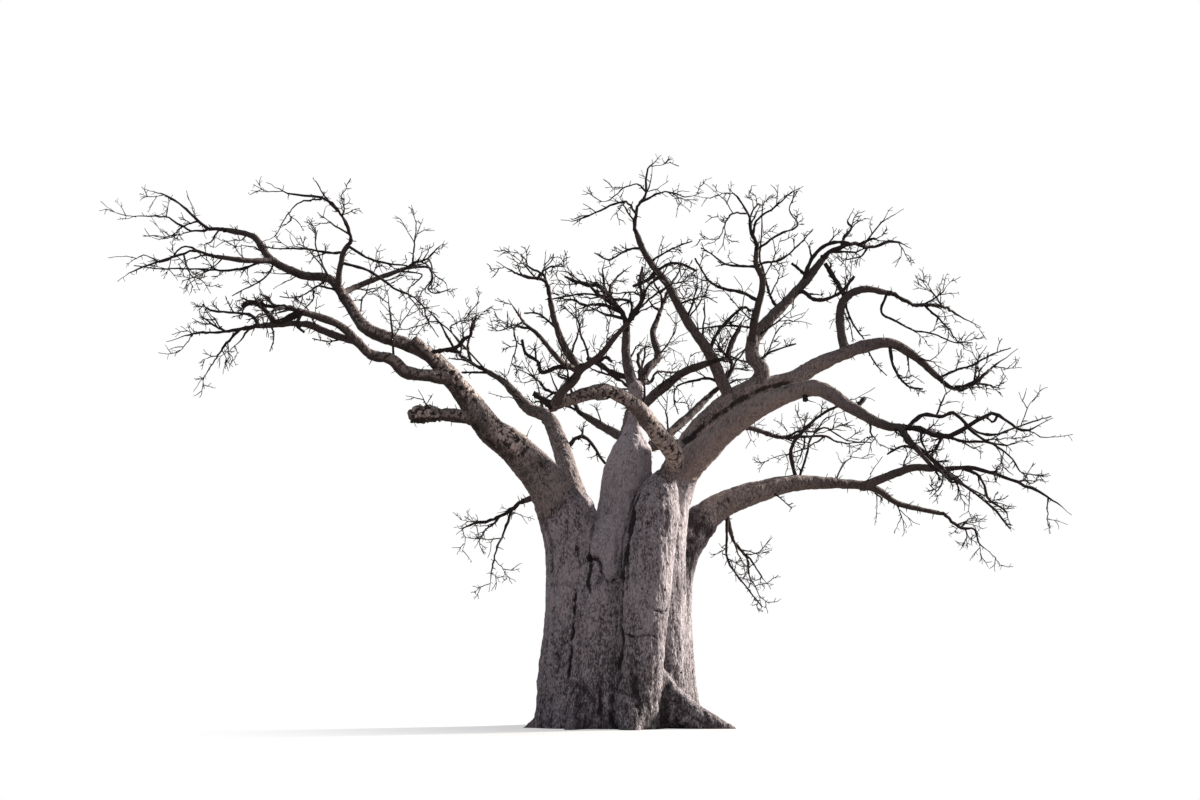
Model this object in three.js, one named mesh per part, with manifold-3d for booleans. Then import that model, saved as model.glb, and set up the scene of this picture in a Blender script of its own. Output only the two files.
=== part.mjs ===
// Bare baobab tree, rooted in level ground. A trunk of fused stems forks into great
// boughs, each bough is one tapering limb, and each limb ends in a mass of leafless twigs.
// Millimetres, +Z up, +X to the right of the front view. The origin is the middle of the
// flat cut under the trunk.

import * as THREE from "three";
import { mergeVertices } from "three/addons/utils/BufferGeometryUtils.js";
import Module from "manifold-3d";

// Clear distance kept where one piece meets another.
const GAP = 0.3;
// Places are given as they look from one point in front of the tree: across and up on the
// upright plane through the trunk, and depth behind that plane (less than 0 in front).
const EYE = new THREE.Vector3(-530, -45000, 1700);
const EYE_DISTANCE = 45000;
const GROUND_BLOCK = 20000;

// Trunk
const STEM_SIDES = 12;
const ROOT_SIDES = 6;
const TRUNK_STEPS = 1;

// Limbs: the sides of a section and the steps between two places follow from the radius at
// the root
const STOUT_RADIUS = 300;
const MIDDLE_RADIUS = 130;
const STOUT_SIDES = 10;
const MIDDLE_SIDES = 7;
const SLIM_SIDES = 5;
const LIMB_STEPS = 2;
const SLIM_STEPS = 1;
const MOST_LOST = 0.45;

// Twigs
const TWIG_SIDES = 3;
const LEADER_STEPS = 4;
const SIDE_STEPS = 2;
const SIDE_TWIGS = 3;
const WIDE_FORK = 4;
const LEADER_CROOK = 0.3;
const TWIG_CROOK = 0.22;
const TWIG_TAPER = 0.7;
const LEAST_ROOT = 13;
const LEAST_RADIUS = 10;
const STEM_FIT = 0.96;
const SPACE_MARGIN = 420;
const HEADROOM = 100;
const TWIG_CLEAR = 30;
const LOWEST_TWIG = 1200;

// Leaders fork from a mass's first leader at these steps, at this share of its radius.
const FIRST_FORK = 0.9;
const FORK_STEP = 0.75;
const FORK_RADIUS = 0.8;

// Side twigs: where along the parent they leave, how far they lean out, how long they are
// for the parent's length, and how far their ends lift. Each drift is the random part.
const SIDE_FROM = 0.22;
const SIDE_SPAN = 0.7;
const SIDE_FIRST = 0.35;
const SIDE_DRIFT = 0.1;
const SIDE_RADIUS = 0.62;
const LEAN = 0.76;
const LEAN_DRIFT = 0.475;
const LENGTH_AT_ROOT = 0.483;
const LENGTH_LOST = 0.21;
const LENGTH_LEAST = 0.75;
const LENGTH_DRIFT = 0.5;
const TWIG_LIFT = 0.22;
const PARENT_TURN = 1.3;
const GOLDEN_TURN = 2.39996;
const GOLDEN_STEP = 0.618034;

// Seeds of the random draws, and Park and Miller's generator
const MASS_SEED = 7919;
const LEADER_SEED = 104729;
const TWIG_SEED = 15485;
const CODES_PER_TWIG = 16;
const DRAW_FACTOR = 48271;
const DRAW_SPAN = 2147483647;

// The trunk's stems, each from below the ground to its fork: rows of across, up, depth and
// radius.
const STEMS = {
  left: [
    [-1290, -250, -300, 830],
    [-1290, 500, -330, 750],
    [-1270, 1500, -380, 700],
    [-1215, 3000, -400, 615],
    [-1235, 4200, -390, 590],
    [-1390, 5080, -370, 560],
  ],
  middle: [
    [-560, -250, -520, 800],
    [-560, 1500, -560, 660],
    [-540, 3000, -560, 600],
    [-480, 4050, -460, 470],
    [-360, 4750, -250, 240],
  ],
  centre: [
    [-250, -250, -50, 1150],
    [-250, 1500, -50, 1050],
    [-150, 3200, -50, 880],
    [-30, 4500, 0, 690],
    [70, 5300, 50, 615],
    [140, 6050, 100, 580],
    [230, 6500, 110, 500],
    [255, 6850, 120, 310],
    [270, 7200, 140, 180],
    [430, 7700, 190, 165],
    [340, 8150, 240, 185],
  ],
  front: [
    [330, -250, -950, 660],
    [390, 700, -1080, 510],
    [490, 2000, -1120, 530],
    [560, 3200, -1040, 590],
    [660, 4200, -930, 585],
    [810, 5050, -800, 570],
    [900, 5550, -730, 450],
    [990, 5900, -720, 250],
  ],
  right: [
    [800, -250, -50, 850],
    [830, 1500, -50, 760],
    [850, 3000, 0, 700],
    [960, 4300, 60, 590],
    [1110, 5200, 100, 500],
    [1290, 5850, 120, 440],
  ],
  right_rear: [
    [1120, -250, 850, 790],
    [1080, 900, 880, 690],
    [1060, 2400, 900, 620],
    [1140, 3400, 950, 560],
    [1370, 4150, 1060, 490],
    [1760, 4740, 1260, 420],
  ],
  rear: [
    [-250, -250, 1200, 950],
    [-250, 1500, 1200, 850],
    [-250, 3200, 1250, 740],
    [-120, 4400, 1350, 560],
    [20, 5200, 1620, 430],
  ],
  left_rear: [
    [-1020, -250, 780, 880],
    [-980, 1500, 800, 770],
    [-920, 3000, 860, 670],
    [-900, 4300, 980, 510],
    [-1010, 5200, 1180, 340],
  ],
};

// Roots that spread from the trunk's foot into the ground.
const ROOTS = [
  [
    [700, 1350, -850, 260],
    [1200, 780, -850, 250],
    [1700, 430, -900, 190],
    [2600, -60, -1000, 90],
  ],
  [
    [120, 800, -1250, 330],
    [180, 350, -1580, 300],
    [200, -120, -1950, 170],
  ],
  [
    [-1650, 600, -300, 400],
    [-2030, 220, -380, 240],
    [-2420, -120, -450, 110],
  ],
  [
    [-850, 650, -950, 330],
    [-1050, 200, -1300, 230],
    [-1250, -120, -1650, 130],
  ],
  [
    [1350, 600, 950, 400],
    [1650, 200, 1350, 260],
    [1950, -120, 1800, 130],
  ],
  [
    [600, 700, 1500, 400],
    [800, 250, 2050, 270],
    [1000, -120, 2550, 130],
  ],
  [
    [-500, 700, 1750, 430],
    [-600, 250, 2250, 280],
    [-700, -120, 2750, 130],
  ],
  [
    [-1450, 650, 1150, 420],
    [-1800, 230, 1550, 260],
    [-2100, -120, 1950, 130],
  ],
];

// Every limb: the piece that carries it, its radius at the root and at the tip, how fast it
// tapers, the places its centre line passes, and the places its twigs reach to.
const LIMBS = {
  left_great_bough: {
    from: "trunk",
    radius: [545, 120],
    taper: 1.1,
    path: [
      [-1360, 4950, -370],
      [-1830, 5830, -480],
      [-2700, 6750, -800],
      [-3180, 7120, -1000],
      [-3870, 8050, -1400],
      [-4500, 8770, -1700],
      [-5200, 9420, -2100],
    ],
  },
  left_burl_stub: {
    from: "left_great_bough",
    radii: [150, 145, 140, 210, 225, 130],
    path: [
      [-3500, 7400, -1180],
      [-4100, 7480, -1450],
      [-4450, 7510, -1600],
      [-4700, 7520, -1700],
      [-4950, 7500, -1780],
      [-5150, 7440, -1850],
    ],
  },
  left_low_bough: {
    from: "left_great_bough",
    radius: [165, 75],
    path: [
      [-4130, 8380, -1550],
      [-4700, 8470, -1850],
      [-5300, 8560, -2050],
      [-5620, 8850, -2200],
      [-6150, 9000, -2350],
      [-6900, 9700, -2600],
      [-7850, 10050, -2850],
    ],
    reaches: [
      [-9400, 10230, -3400],
      [-9050, 9750, -3900],
      [-8900, 10600, -3300],
    ],
  },
  left_low_fork: {
    from: "left_low_bough",
    radius: [100, 60],
    path: [
      [-6450, 9290, -2450],
      [-7200, 9520, -2150],
      [-7750, 9740, -2000],
      [-8900, 9690, -1800],
    ],
    reaches: [
      [-11150, 9300, -1500],
      [-10450, 8070, -1900],
      [-10400, 10230, -1200],
    ],
  },
  left_high_bough: {
    from: "left_great_bough",
    radius: [185, 60],
    path: [
      [-4150, 8430, -1530],
      [-4650, 8930, -1300],
      [-5250, 9220, -1100],
      [-6260, 9640, -700],
      [-6770, 10340, -300],
      [-7200, 10880, 0],
      [-7800, 10950, 200],
      [-8650, 11370, 500],
      [-9070, 11920, 700],
      [-9750, 12100, 1000],
    ],
    reaches: [
      [-11800, 13130, 1500],
      [-12450, 12360, 2300],
      [-11300, 11900, 1400],
    ],
  },
  left_far_fork: {
    from: "left_high_bough",
    radius: [75, 50],
    path: [
      [-8560, 11320, 470],
      [-9250, 11330, 0],
      [-10000, 11430, -300],
    ],
    reaches: [
      [-12400, 10800, -900],
      [-12200, 11240, 200],
      [-10100, 10500, -900],
    ],
  },
  left_top_fork: {
    from: "left_high_bough",
    radius: [85, 55],
    path: [
      [-6980, 10610, -150],
      [-6950, 11000, -450],
      [-6850, 11530, -700],
      [-6720, 11750, -800],
    ],
    reaches: [
      [-8800, 13300, -900],
      [-6900, 13100, -1300],
      [-7650, 13400, -400],
      [-8900, 11780, -1500],
    ],
  },
  left_inner_fork: {
    from: "left_high_bough",
    radius: [80, 50],
    path: [
      [-6900, 10480, -220],
      [-6500, 10680, 300],
      [-6000, 10880, 600],
      [-5350, 11120, 900],
    ],
    reaches: [
      [-4400, 11750, 1300],
      [-5200, 12600, 1000],
      [-4250, 10450, 1500],
      [-4950, 9950, 900],
    ],
  },
  left_rear_bough: {
    from: "trunk",
    radius: [315, 65],
    path: [
      [-1000, 5080, 1150],
      [-1250, 5850, 1500],
      [-1480, 6700, 2100],
      [-1850, 7480, 2700],
      [-2220, 7620, 2950],
      [-2870, 8300, 3400],
      [-3300, 8570, 3700],
    ],
    reaches: [
      [-4850, 10150, 4900],
      [-3550, 10200, 4900],
      [-4700, 9000, 5000],
    ],
  },
  left_hanging_bough: {
    from: "trunk",
    radius: [170, 70],
    path: [
      [-1050, 4250, 1050],
      [-1600, 5150, 1900],
      [-2050, 5480, 2600],
      [-2350, 5400, 3000],
    ],
    reaches: [
      [-4000, 4580, 4600],
      [-3200, 3200, 3600],
      [-3550, 4250, 3600],
    ],
  },
  rear_great_bough: {
    from: "trunk",
    radius: [415, 105],
    path: [
      [0, 5000, 1550],
      [80, 5950, 2200],
      [120, 6550, 3200],
      [150, 7100, 4400],
      [250, 7800, 5600],
    ],
    reaches: [
      [700, 9300, 7700],
      [-900, 8700, 7300],
      [1500, 8500, 7600],
    ],
  },
  rear_left_fork: {
    from: "rear_great_bough",
    radius: [150, 75],
    path: [
      [130, 6870, 3950],
      [-500, 7230, 4300],
      [-950, 7500, 4700],
    ],
    reaches: [
      [-2500, 8600, 6200],
      [-1700, 8850, 6700],
      [-2350, 7700, 5700],
    ],
  },
  rear_right_fork: {
    from: "rear_great_bough",
    radius: [165, 80],
    path: [
      [110, 6500, 3150],
      [750, 6750, 3700],
      [1600, 7430, 4500],
      [2100, 7930, 5100],
    ],
    reaches: [
      [3100, 10150, 6200],
      [3250, 8600, 6600],
      [2200, 9400, 6600],
    ],
  },
  rear_low_fork: {
    from: "rear_right_fork",
    radius: [105, 60],
    path: [
      [700, 6700, 3650],
      [1800, 6900, 3800],
      [2930, 7200, 4200],
      [3600, 7020, 4500],
    ],
    reaches: [
      [6050, 6830, 5900],
      [5430, 7600, 5500],
      [4200, 6100, 5200],
      [3300, 6250, 5300],
    ],
  },
  centre_upright_bough: {
    from: "trunk",
    radius: [150, 95],
    path: [
      [330, 8080, 235],
      [200, 8500, 300],
      [110, 9000, 450],
      [120, 9600, 600],
    ],
    reaches: [
      [-1500, 11000, 1500],
      [-1750, 10380, 600],
      [250, 11200, 1600],
    ],
  },
  centre_bent_bough: {
    from: "trunk",
    radius: [110, 65],
    path: [
      [360, 8060, 240],
      [640, 8640, 500],
      [890, 8920, 800],
      [760, 9500, 1100],
      [880, 9870, 1300],
    ],
    reaches: [
      [1500, 11400, 2300],
      [700, 11500, 2600],
      [1600, 10300, 2600],
    ],
  },
  centre_right_bough: {
    from: "trunk",
    radius: [130, 75],
    path: [
      [430, 7650, 190],
      [1000, 8160, -150],
      [1550, 8560, -550],
      [2150, 8780, -1000],
    ],
    reaches: [
      [3000, 9900, -2300],
      [2500, 8900, -2700],
    ],
  },
  front_arch_bough: {
    from: "trunk",
    radius: [235, 125],
    path: [
      [975, 5820, -720],
      [1190, 6120, -850],
      [1270, 6500, -1200],
      [780, 7130, -1900],
      [330, 7720, -2450],
      [-350, 8070, -2850],
      [-1280, 7870, -3250],
      [-1820, 7650, -3450],
    ],
  },
  front_upright_bough: {
    from: "front_arch_bough",
    radius: [115, 60],
    path: [
      [-1640, 7730, -3390],
      [-1420, 8100, -3650],
      [-1060, 8570, -4000],
      [-1370, 9100, -4200],
      [-1630, 9780, -4450],
      [-1750, 10300, -4600],
    ],
    reaches: [
      [-3080, 11300, -5300],
      [-2650, 11600, -4600],
      [-1300, 11300, -5400],
    ],
  },
  front_left_fork: {
    from: "front_upright_bough",
    radius: [75, 50],
    path: [
      [-1090, 8600, -4020],
      [-1450, 8780, -4450],
      [-1980, 9400, -4900],
    ],
    reaches: [
      [-2780, 10350, -5900],
      [-3280, 9600, -5500],
      [-2780, 8530, -5300],
    ],
  },
  front_right_fork: {
    from: "front_upright_bough",
    radius: [80, 50],
    path: [
      [-1060, 8560, -3990],
      [-520, 8970, -4350],
      [-180, 9400, -4700],
      [200, 9820, -4950],
    ],
    reaches: [
      [1300, 11460, -5900],
      [1880, 11100, -5300],
      [-600, 10550, -6100],
    ],
  },
  right_great_bough: {
    from: "trunk",
    radius: [425, 75],
    taper: 1.2,
    path: [
      [1260, 5750, 115],
      [1520, 6400, 150],
      [2100, 7250, 200],
      [3000, 7980, 300],
      [4150, 8350, 450],
      [4700, 8680, 520],
      [5780, 9130, 650],
      [6550, 9270, 750],
      [7080, 9000, 850],
      [7750, 8400, 950],
    ],
    reaches: [
      [9700, 9130, 1500],
      [9050, 8870, 400],
      [9350, 8150, 1500],
    ],
  },
  right_front_bough: {
    from: "right_great_bough",
    radius: [365, 75],
    path: [
      [1420, 6100, 100],
      [1850, 6480, -350],
      [2400, 7000, -750],
      [3200, 7600, -1200],
      [4330, 8100, -1800],
      [4830, 8130, -2100],
      [5670, 7620, -2600],
      [6450, 7220, -3000],
      [6950, 7180, -3250],
    ],
    reaches: [
      [10500, 7420, -4900],
      [9750, 6830, -3900],
      [9830, 5870, -4600],
      [8300, 7500, -4500],
    ],
  },
  right_front_fork: {
    from: "right_front_bough",
    radius: [75, 50],
    path: [
      [6750, 7190, -3140],
      [7050, 6800, -3500],
      [7500, 6270, -3700],
    ],
    reaches: [
      [8300, 5650, -4100],
      [7500, 5500, -4600],
    ],
  },
  top_bough: {
    from: "right_great_bough",
    radius: [155, 60],
    path: [
      [2700, 7780, 260],
      [2430, 8370, 50],
      [2150, 9000, -200],
      [1600, 9820, -500],
      [1180, 10630, -750],
      [580, 11500, -1050],
      [370, 12020, -1150],
    ],
    reaches: [
      [990, 14000, -1200],
      [-1500, 12350, -2200],
      [2040, 13050, -600],
      [-600, 12800, -300],
    ],
  },
  right_winding_bough: {
    from: "right_great_bough",
    radius: [185, 85],
    path: [
      [3150, 8030, 310],
      [3430, 8570, 300],
      [3200, 8930, 320],
      [3220, 9330, 380],
      [3770, 10000, 600],
      [4450, 10730, 900],
      [4950, 11350, 1150],
    ],
    reaches: [
      [7150, 11630, 2100],
      [5750, 12650, 1700],
      [6500, 12000, 900],
      [5400, 11300, 2600],
    ],
  },
  right_upright_fork: {
    from: "right_winding_bough",
    radius: [95, 60],
    path: [
      [3200, 9250, 360],
      [3250, 9800, -100],
      [3480, 10800, -500],
      [3310, 11250, -650],
      [3330, 11600, -700],
    ],
    reaches: [
      [2650, 13150, -900],
      [4500, 13200, -1500],
      [3580, 13000, -200],
      [2050, 11700, -1700],
    ],
  },
  right_outer_fork: {
    from: "right_great_bough",
    radius: [120, 70],
    path: [
      [5480, 9020, 620],
      [5370, 9570, 800],
      [5430, 10300, 1000],
      [5900, 10600, 1150],
      [6530, 10520, 1350],
    ],
    reaches: [
      [8800, 9670, 2400],
      [8000, 10000, 1200],
      [8450, 9150, 1700],
      [7300, 11000, 2500],
    ],
  },
  right_low_bough: {
    from: "trunk",
    radius: [405, 55],
    taper: 1.7,
    path: [
      [1700, 4670, 1220],
      [2350, 5250, 1550],
      [3420, 5650, 2000],
      [4100, 5810, 2250],
      [5500, 5800, 2700],
      [6150, 5680, 2900],
      [6650, 5350, 3100],
      [7700, 5090, 3500],
    ],
    reaches: [
      [9020, 4020, 4300],
      [8700, 4950, 4500],
      [8200, 4250, 3400],
    ],
  },
  right_low_fork: {
    from: "right_low_bough",
    radius: [115, 80],
    path: [
      [5850, 5750, 2800],
      [6600, 6050, 2700],
      [7100, 6210, 2550],
      [7600, 6180, 2400],
    ],
    reaches: [
      [10880, 5050, 1900],
      [9400, 4650, 2700],
      [9100, 6100, 1600],
      [10100, 5900, 2600],
    ],
  },
  right_hanging_fork: {
    from: "right_low_bough",
    radius: [80, 50],
    path: [
      [2500, 5320, 1640],
      [2560, 4900, 2100],
      [2650, 4550, 2400],
    ],
    reaches: [
      [3580, 3270, 3200],
      [3350, 2800, 2500],
    ],
  },
};

const wasm = await Module();
wasm.setup();

const barkTrunk = new THREE.MeshStandardMaterial({ color: 0x6f6560, roughness: 0.9, metalness: 0 });
const barkLimb = new THREE.MeshStandardMaterial({ color: 0x75675f, roughness: 0.9, metalness: 0 });
const barkTwig = new THREE.MeshStandardMaterial({ color: 0x4a3f3b, roughness: 0.95, metalness: 0 });

// The point in space of a place given as across, up and depth.
function placed([across, up, depth]) {
  const onPlane = new THREE.Vector3(across, 0, up);
  return onPlane.sub(EYE).multiplyScalar(1 + depth / EYE_DISTANCE).add(EYE);
}

// Park and Miller's generator, started afresh for each twig so that none disturbs another.
function randomFrom(seed) {
  let state = seed % DRAW_SPAN;
  const next = () => {
    state = (state * DRAW_FACTOR) % DRAW_SPAN;
    return state / DRAW_SPAN;
  };
  next();
  next();
  return next;
}

// Samples of a smooth curve through the given places, the places among them.
function centreLine(places, stepsPerSpan) {
  const curve = new THREE.CatmullRomCurve3(places.map(placed));
  const steps = (places.length - 1) * stepsPerSpan;
  return Array.from({ length: steps + 1 }, (_, i) => curve.getPoint(i / steps));
}

// Values given one to each place, filled in evenly over the steps between them.
function between(values, stepsPerSpan) {
  const steps = (values.length - 1) * stepsPerSpan;
  return Array.from({ length: steps + 1 }, (_, i) => {
    const row = Math.min(Math.floor(i / stepsPerSpan), values.length - 2);
    return THREE.MathUtils.lerp(values[row], values[row + 1], i / stepsPerSpan - row);
  });
}

// Share of a line's length that lies before each of its points.
function shares(line) {
  const run = [0];
  for (let i = 1; i < line.length; i += 1) run.push(run[i - 1] + line[i].distanceTo(line[i - 1]));
  return run.map((length) => length / run[run.length - 1]);
}

// Direction of a line at each of its points.
function headings(line) {
  const last = line.length - 1;
  return line.map((_, i) =>
    line[Math.min(i + 1, last)].clone().sub(line[Math.max(i - 1, 0)]).normalize(),
  );
}

// Any unit vector square to a heading.
function squareTo(heading) {
  const axis = Math.abs(heading.z) < 0.8 ? new THREE.Vector3(0, 0, 1) : new THREE.Vector3(1, 0, 0);
  return axis.cross(heading).normalize();
}

// A solid from a geometry whose faces close on themselves.
function solidOf(geometry) {
  geometry.deleteAttribute("normal");
  geometry.deleteAttribute("uv");
  const merged = mergeVertices(geometry, 1e-3);
  return new wasm.Manifold(
    new wasm.Mesh({
      numProp: 3,
      vertProperties: merged.attributes.position.array,
      triVerts: new Uint32Array(merged.index.array),
    }),
  );
}

// A closed tube round a line: a cylinder, or a cone where the last radius is 0, bent to
// follow the line. With grow it is that much larger on every side.
function tube(line, radii, sides, grow = 0) {
  const steps = line.length - 1;
  const form =
    radii[steps] > 0
      ? new THREE.CylinderGeometry(1, 1, 1, sides, steps)
      : new THREE.ConeGeometry(1, 1, sides, steps);
  const ahead = headings(line);
  const normals = [squareTo(ahead[0])];
  const turn = new THREE.Quaternion();
  for (let i = 1; i <= steps; i += 1) {
    turn.setFromUnitVectors(ahead[i - 1], ahead[i]);
    normals.push(normals[i - 1].clone().applyQuaternion(turn));
  }
  const at = form.getAttribute("position");
  for (let v = 0; v < at.count; v += 1) {
    const ring = Math.round((at.getY(v) + 0.5) * steps);
    const spoke = new THREE.Vector2(at.getX(v), at.getZ(v)).normalize();
    const radius = radii[ring] + grow;
    const side = new THREE.Vector3().crossVectors(normals[ring], ahead[ring]);
    const point = line[ring].clone();
    if (ring === 0) point.addScaledVector(ahead[0], -grow);
    if (ring === steps) point.addScaledVector(ahead[steps], grow);
    point.addScaledVector(normals[ring], spoke.x * radius);
    point.addScaledVector(side, spoke.y * radius);
    at.setXYZ(v, point.x, point.y, point.z);
  }
  return solidOf(form);
}

// The largest body of a solid.
function largest(solid) {
  return solid.decompose().reduce((best, body) => (body.volume() > best.volume() ? body : best));
}

// The trunk: its stems and roots in one, cut flat at the ground.
function trunkSolid(grow = 0) {
  const stems = Object.values(STEMS).map((rows) => [rows, STEM_SIDES]);
  const roots = ROOTS.map((rows) => [rows, ROOT_SIDES]);
  const bodies = [...stems, ...roots].map(([rows, sides]) => {
    const radii = between(rows.map((row) => row[3]), TRUNK_STEPS);
    return tube(centreLine(rows, TRUNK_STEPS), radii, sides, grow);
  });
  const block = new THREE.BoxGeometry(GROUND_BLOCK, GROUND_BLOCK, GROUND_BLOCK);
  block.translate(0, 0, -GROUND_BLOCK / 2);
  return largest(bodies.reduce((all, body) => all.add(body)).subtract(solidOf(block)));
}

// A limb's centre line, radii and number of sides.
function limbForm(limb) {
  const [root, tip] = limb.radius ?? limb.radii;
  const steps = root > MIDDLE_RADIUS ? LIMB_STEPS : SLIM_STEPS;
  const line = centreLine(limb.path, steps);
  const taper = (share) => tip + (root - tip) * (1 - share) ** (limb.taper ?? 1);
  const radii = limb.radii ? between(limb.radii, steps) : shares(line).map(taper);
  let sides = SLIM_SIDES;
  if (root > MIDDLE_RADIUS) sides = MIDDLE_SIDES;
  if (root > STOUT_RADIUS) sides = STOUT_SIDES;
  return { line, radii, sides };
}

// Distance between two straight stretches.
function stretchGap(a, b, c, d) {
  const u = b.clone().sub(a);
  const v = d.clone().sub(c);
  const w = a.clone().sub(c);
  const uu = u.dot(u);
  const uv = u.dot(v);
  const vv = v.dot(v);
  const uw = u.dot(w);
  const vw = v.dot(w);
  const area = uu * vv - uv * uv;
  let s = area > 1e-6 * uu * vv ? THREE.MathUtils.clamp((uv * vw - vv * uw) / area, 0, 1) : 0;
  const t = THREE.MathUtils.clamp((uv * s + vw) / vv, 0, 1);
  s = THREE.MathUtils.clamp((uv * t - uw) / uu, 0, 1);
  return w.addScaledVector(u, s).addScaledVector(v, -t).length();
}

// Whether a twig keeps clear of every stretch of the listed limbs and twigs.
function isClear(twig, others) {
  const box = new THREE.Box3().setFromPoints(twig.line).expandByScalar(twig.radii[0] + TWIG_CLEAR);
  for (const other of others) {
    if (!box.intersectsBox(other.box)) continue;
    for (let i = 1; i < twig.line.length; i += 1) {
      for (let k = 1; k < other.line.length; k += 1) {
        const room = twig.radii[i - 1] + other.radii[k - 1] + TWIG_CLEAR;
        const gap = stretchGap(twig.line[i - 1], twig.line[i], other.line[k - 1], other.line[k]);
        if (gap < room) return false;
      }
    }
  }
  return true;
}

// A limb or twig with the box that holds it.
function boxed(form) {
  const box = new THREE.Box3().setFromPoints(form.line).expandByScalar(Math.max(...form.radii));
  return { ...form, box };
}

// A crooked line from a start, along a heading at first, to an end.
function crookedLine(start, heading, end, steps, crook, random) {
  const chord = end.clone().sub(start);
  const length = chord.length();
  const throwOff = (crook * length) / steps;
  return Array.from({ length: steps + 1 }, (_, i) => {
    const t = i / steps;
    const point = start.clone().multiplyScalar(2 * t ** 3 - 3 * t ** 2 + 1);
    point.addScaledVector(heading, (t ** 3 - 2 * t ** 2 + t) * length);
    point.addScaledVector(end, 3 * t ** 2 - 2 * t ** 3);
    point.addScaledVector(chord, t ** 3 - t ** 2);
    const shift = new THREE.Vector3(random() - 0.5, random() - 0.5, random() - 0.5);
    return i > 0 && i < steps ? point.addScaledVector(shift, 2 * throwOff) : point;
  });
}

// The point and heading at a share of the way along a twig, with the radius there.
function spotOn(twig, share) {
  const at = share * (twig.line.length - 1);
  const i = Math.min(Math.floor(at), twig.line.length - 2);
  const point = twig.line[i].clone().lerp(twig.line[i + 1], at - i);
  const heading = twig.line[i + 1].clone().sub(twig.line[i]).normalize();
  const radius = THREE.MathUtils.lerp(twig.radii[i], twig.radii[i + 1], at - i);
  return { point, heading, radius };
}

// Radii of a twig from its root to its point.
function twigRadii(root, steps) {
  return Array.from({ length: steps + 1 }, (_, i) =>
    i === steps ? 0 : Math.max(root * (1 - (TWIG_TAPER * i) / steps), LEAST_RADIUS),
  );
}

// A mass's leaders: the first grows on from the bough's tip, and the rest fork from it.
function massLeaders(number, limb, form) {
  const last = form.line.length - 1;
  const heading = headings(form.line)[last];
  const tip = form.radii[last];
  const root = form.line[last].clone().addScaledVector(heading, GAP);
  const neck = form.line[last].clone().addScaledVector(heading, 2 * tip);
  const leaders = [];
  limb.reaches.map(placed).forEach((reach, i) => {
    const random = randomFrom((number + 1) * MASS_SEED + i * LEADER_SEED);
    if (i === 0) {
      const line = crookedLine(neck, heading, reach, LEADER_STEPS, LEADER_CROOK, random);
      leaders.push({ line: [root, ...line], radii: twigRadii(tip * STEM_FIT, LEADER_STEPS + 1) });
    } else {
      const spot = spotOn(leaders[0], (FIRST_FORK + FORK_STEP * i) / (LEADER_STEPS + 1));
      const towards = reach.clone().sub(spot.point).normalize().add(spot.heading).normalize();
      const line = crookedLine(spot.point, towards, reach, LEADER_STEPS, LEADER_CROOK, random);
      leaders.push({ line, radii: twigRadii(spot.radius * FORK_RADIUS, LEADER_STEPS) });
    }
    leaders[i].code = i + 1;
    leaders[i].length = leaders[i].line[0].distanceTo(reach);
  });
  return leaders;
}

// One side twig of a twig: its place, turn, length and crook come from its own seed.
function sideTwig(number, parent, k) {
  const code = parent.code * CODES_PER_TWIG + k + 1;
  const random = randomFrom((number + 1) * MASS_SEED + code * TWIG_SEED);
  const step = (SIDE_FIRST + k * GOLDEN_STEP + SIDE_DRIFT * random()) % 1;
  const share = SIDE_FROM + SIDE_SPAN * step;
  const spot = spotOn(parent, share);
  const across = squareTo(spot.heading);
  across.applyAxisAngle(spot.heading, parent.code * PARENT_TURN + k * GOLDEN_TURN + random());
  const lean = LEAN + LEAN_DRIFT * random();
  const direction = spot.heading.clone().addScaledVector(across, lean).normalize();
  const longest = parent.length * (LENGTH_AT_ROOT - LENGTH_LOST * share);
  const length = longest * (LENGTH_LEAST + LENGTH_DRIFT * random());
  const end = spot.point.clone().addScaledVector(direction, length);
  end.z += TWIG_LIFT * length;
  const line = crookedLine(spot.point, direction, end, SIDE_STEPS, TWIG_CROOK, random);
  const root = Math.max(spot.radius * SIDE_RADIUS, LEAST_ROOT);
  return { line, radii: twigRadii(root, SIDE_STEPS), code, length };
}

// A mass's twigs: its leaders, and the side twigs that stay in its space and touch nothing.
function massTwigs(number, limb, form, others) {
  const leaders = massLeaders(number, limb, form);
  const space = new THREE.Box3().setFromPoints(limb.reaches.map(placed));
  space.expandByPoint(form.line[form.line.length - 1]);
  space.expandByScalar(SPACE_MARGIN);
  space.max.z += HEADROOM - SPACE_MARGIN;
  space.min.z = Math.max(space.min.z, LOWEST_TWIG);
  const fits = (twig) => twig.line.every((p) => space.containsPoint(p)) && isClear(twig, others);
  const count = leaders.length < WIDE_FORK ? SIDE_TWIGS : SIDE_TWIGS - 1;
  const sides = leaders.flatMap((leader) =>
    Array.from({ length: count }, (_, k) => sideTwig(number, leader, k)).filter(fits),
  );
  return [...leaders, ...sides];
}

// A named mesh of a solid.
function meshOf(name, solid, material) {
  const { numProp, vertProperties, triVerts, numVert } = solid.getMesh();
  const positions = new Float32Array(numVert * 3);
  for (let v = 0; v < numVert; v += 1) {
    positions.set(vertProperties.subarray(v * numProp, v * numProp + 3), v * 3);
  }
  const geometry = new THREE.BufferGeometry();
  geometry.setAttribute("position", new THREE.BufferAttribute(positions, 3));
  geometry.setIndex(new THREE.BufferAttribute(new Uint32Array(triVerts), 1));
  geometry.computeVertexNormals();
  const mesh = new THREE.Mesh(geometry, material);
  mesh.name = name;
  return mesh;
}

const tree = new THREE.Group();
const trunk = trunkSolid();
tree.add(meshOf("trunk", trunk, barkTrunk));

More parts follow.
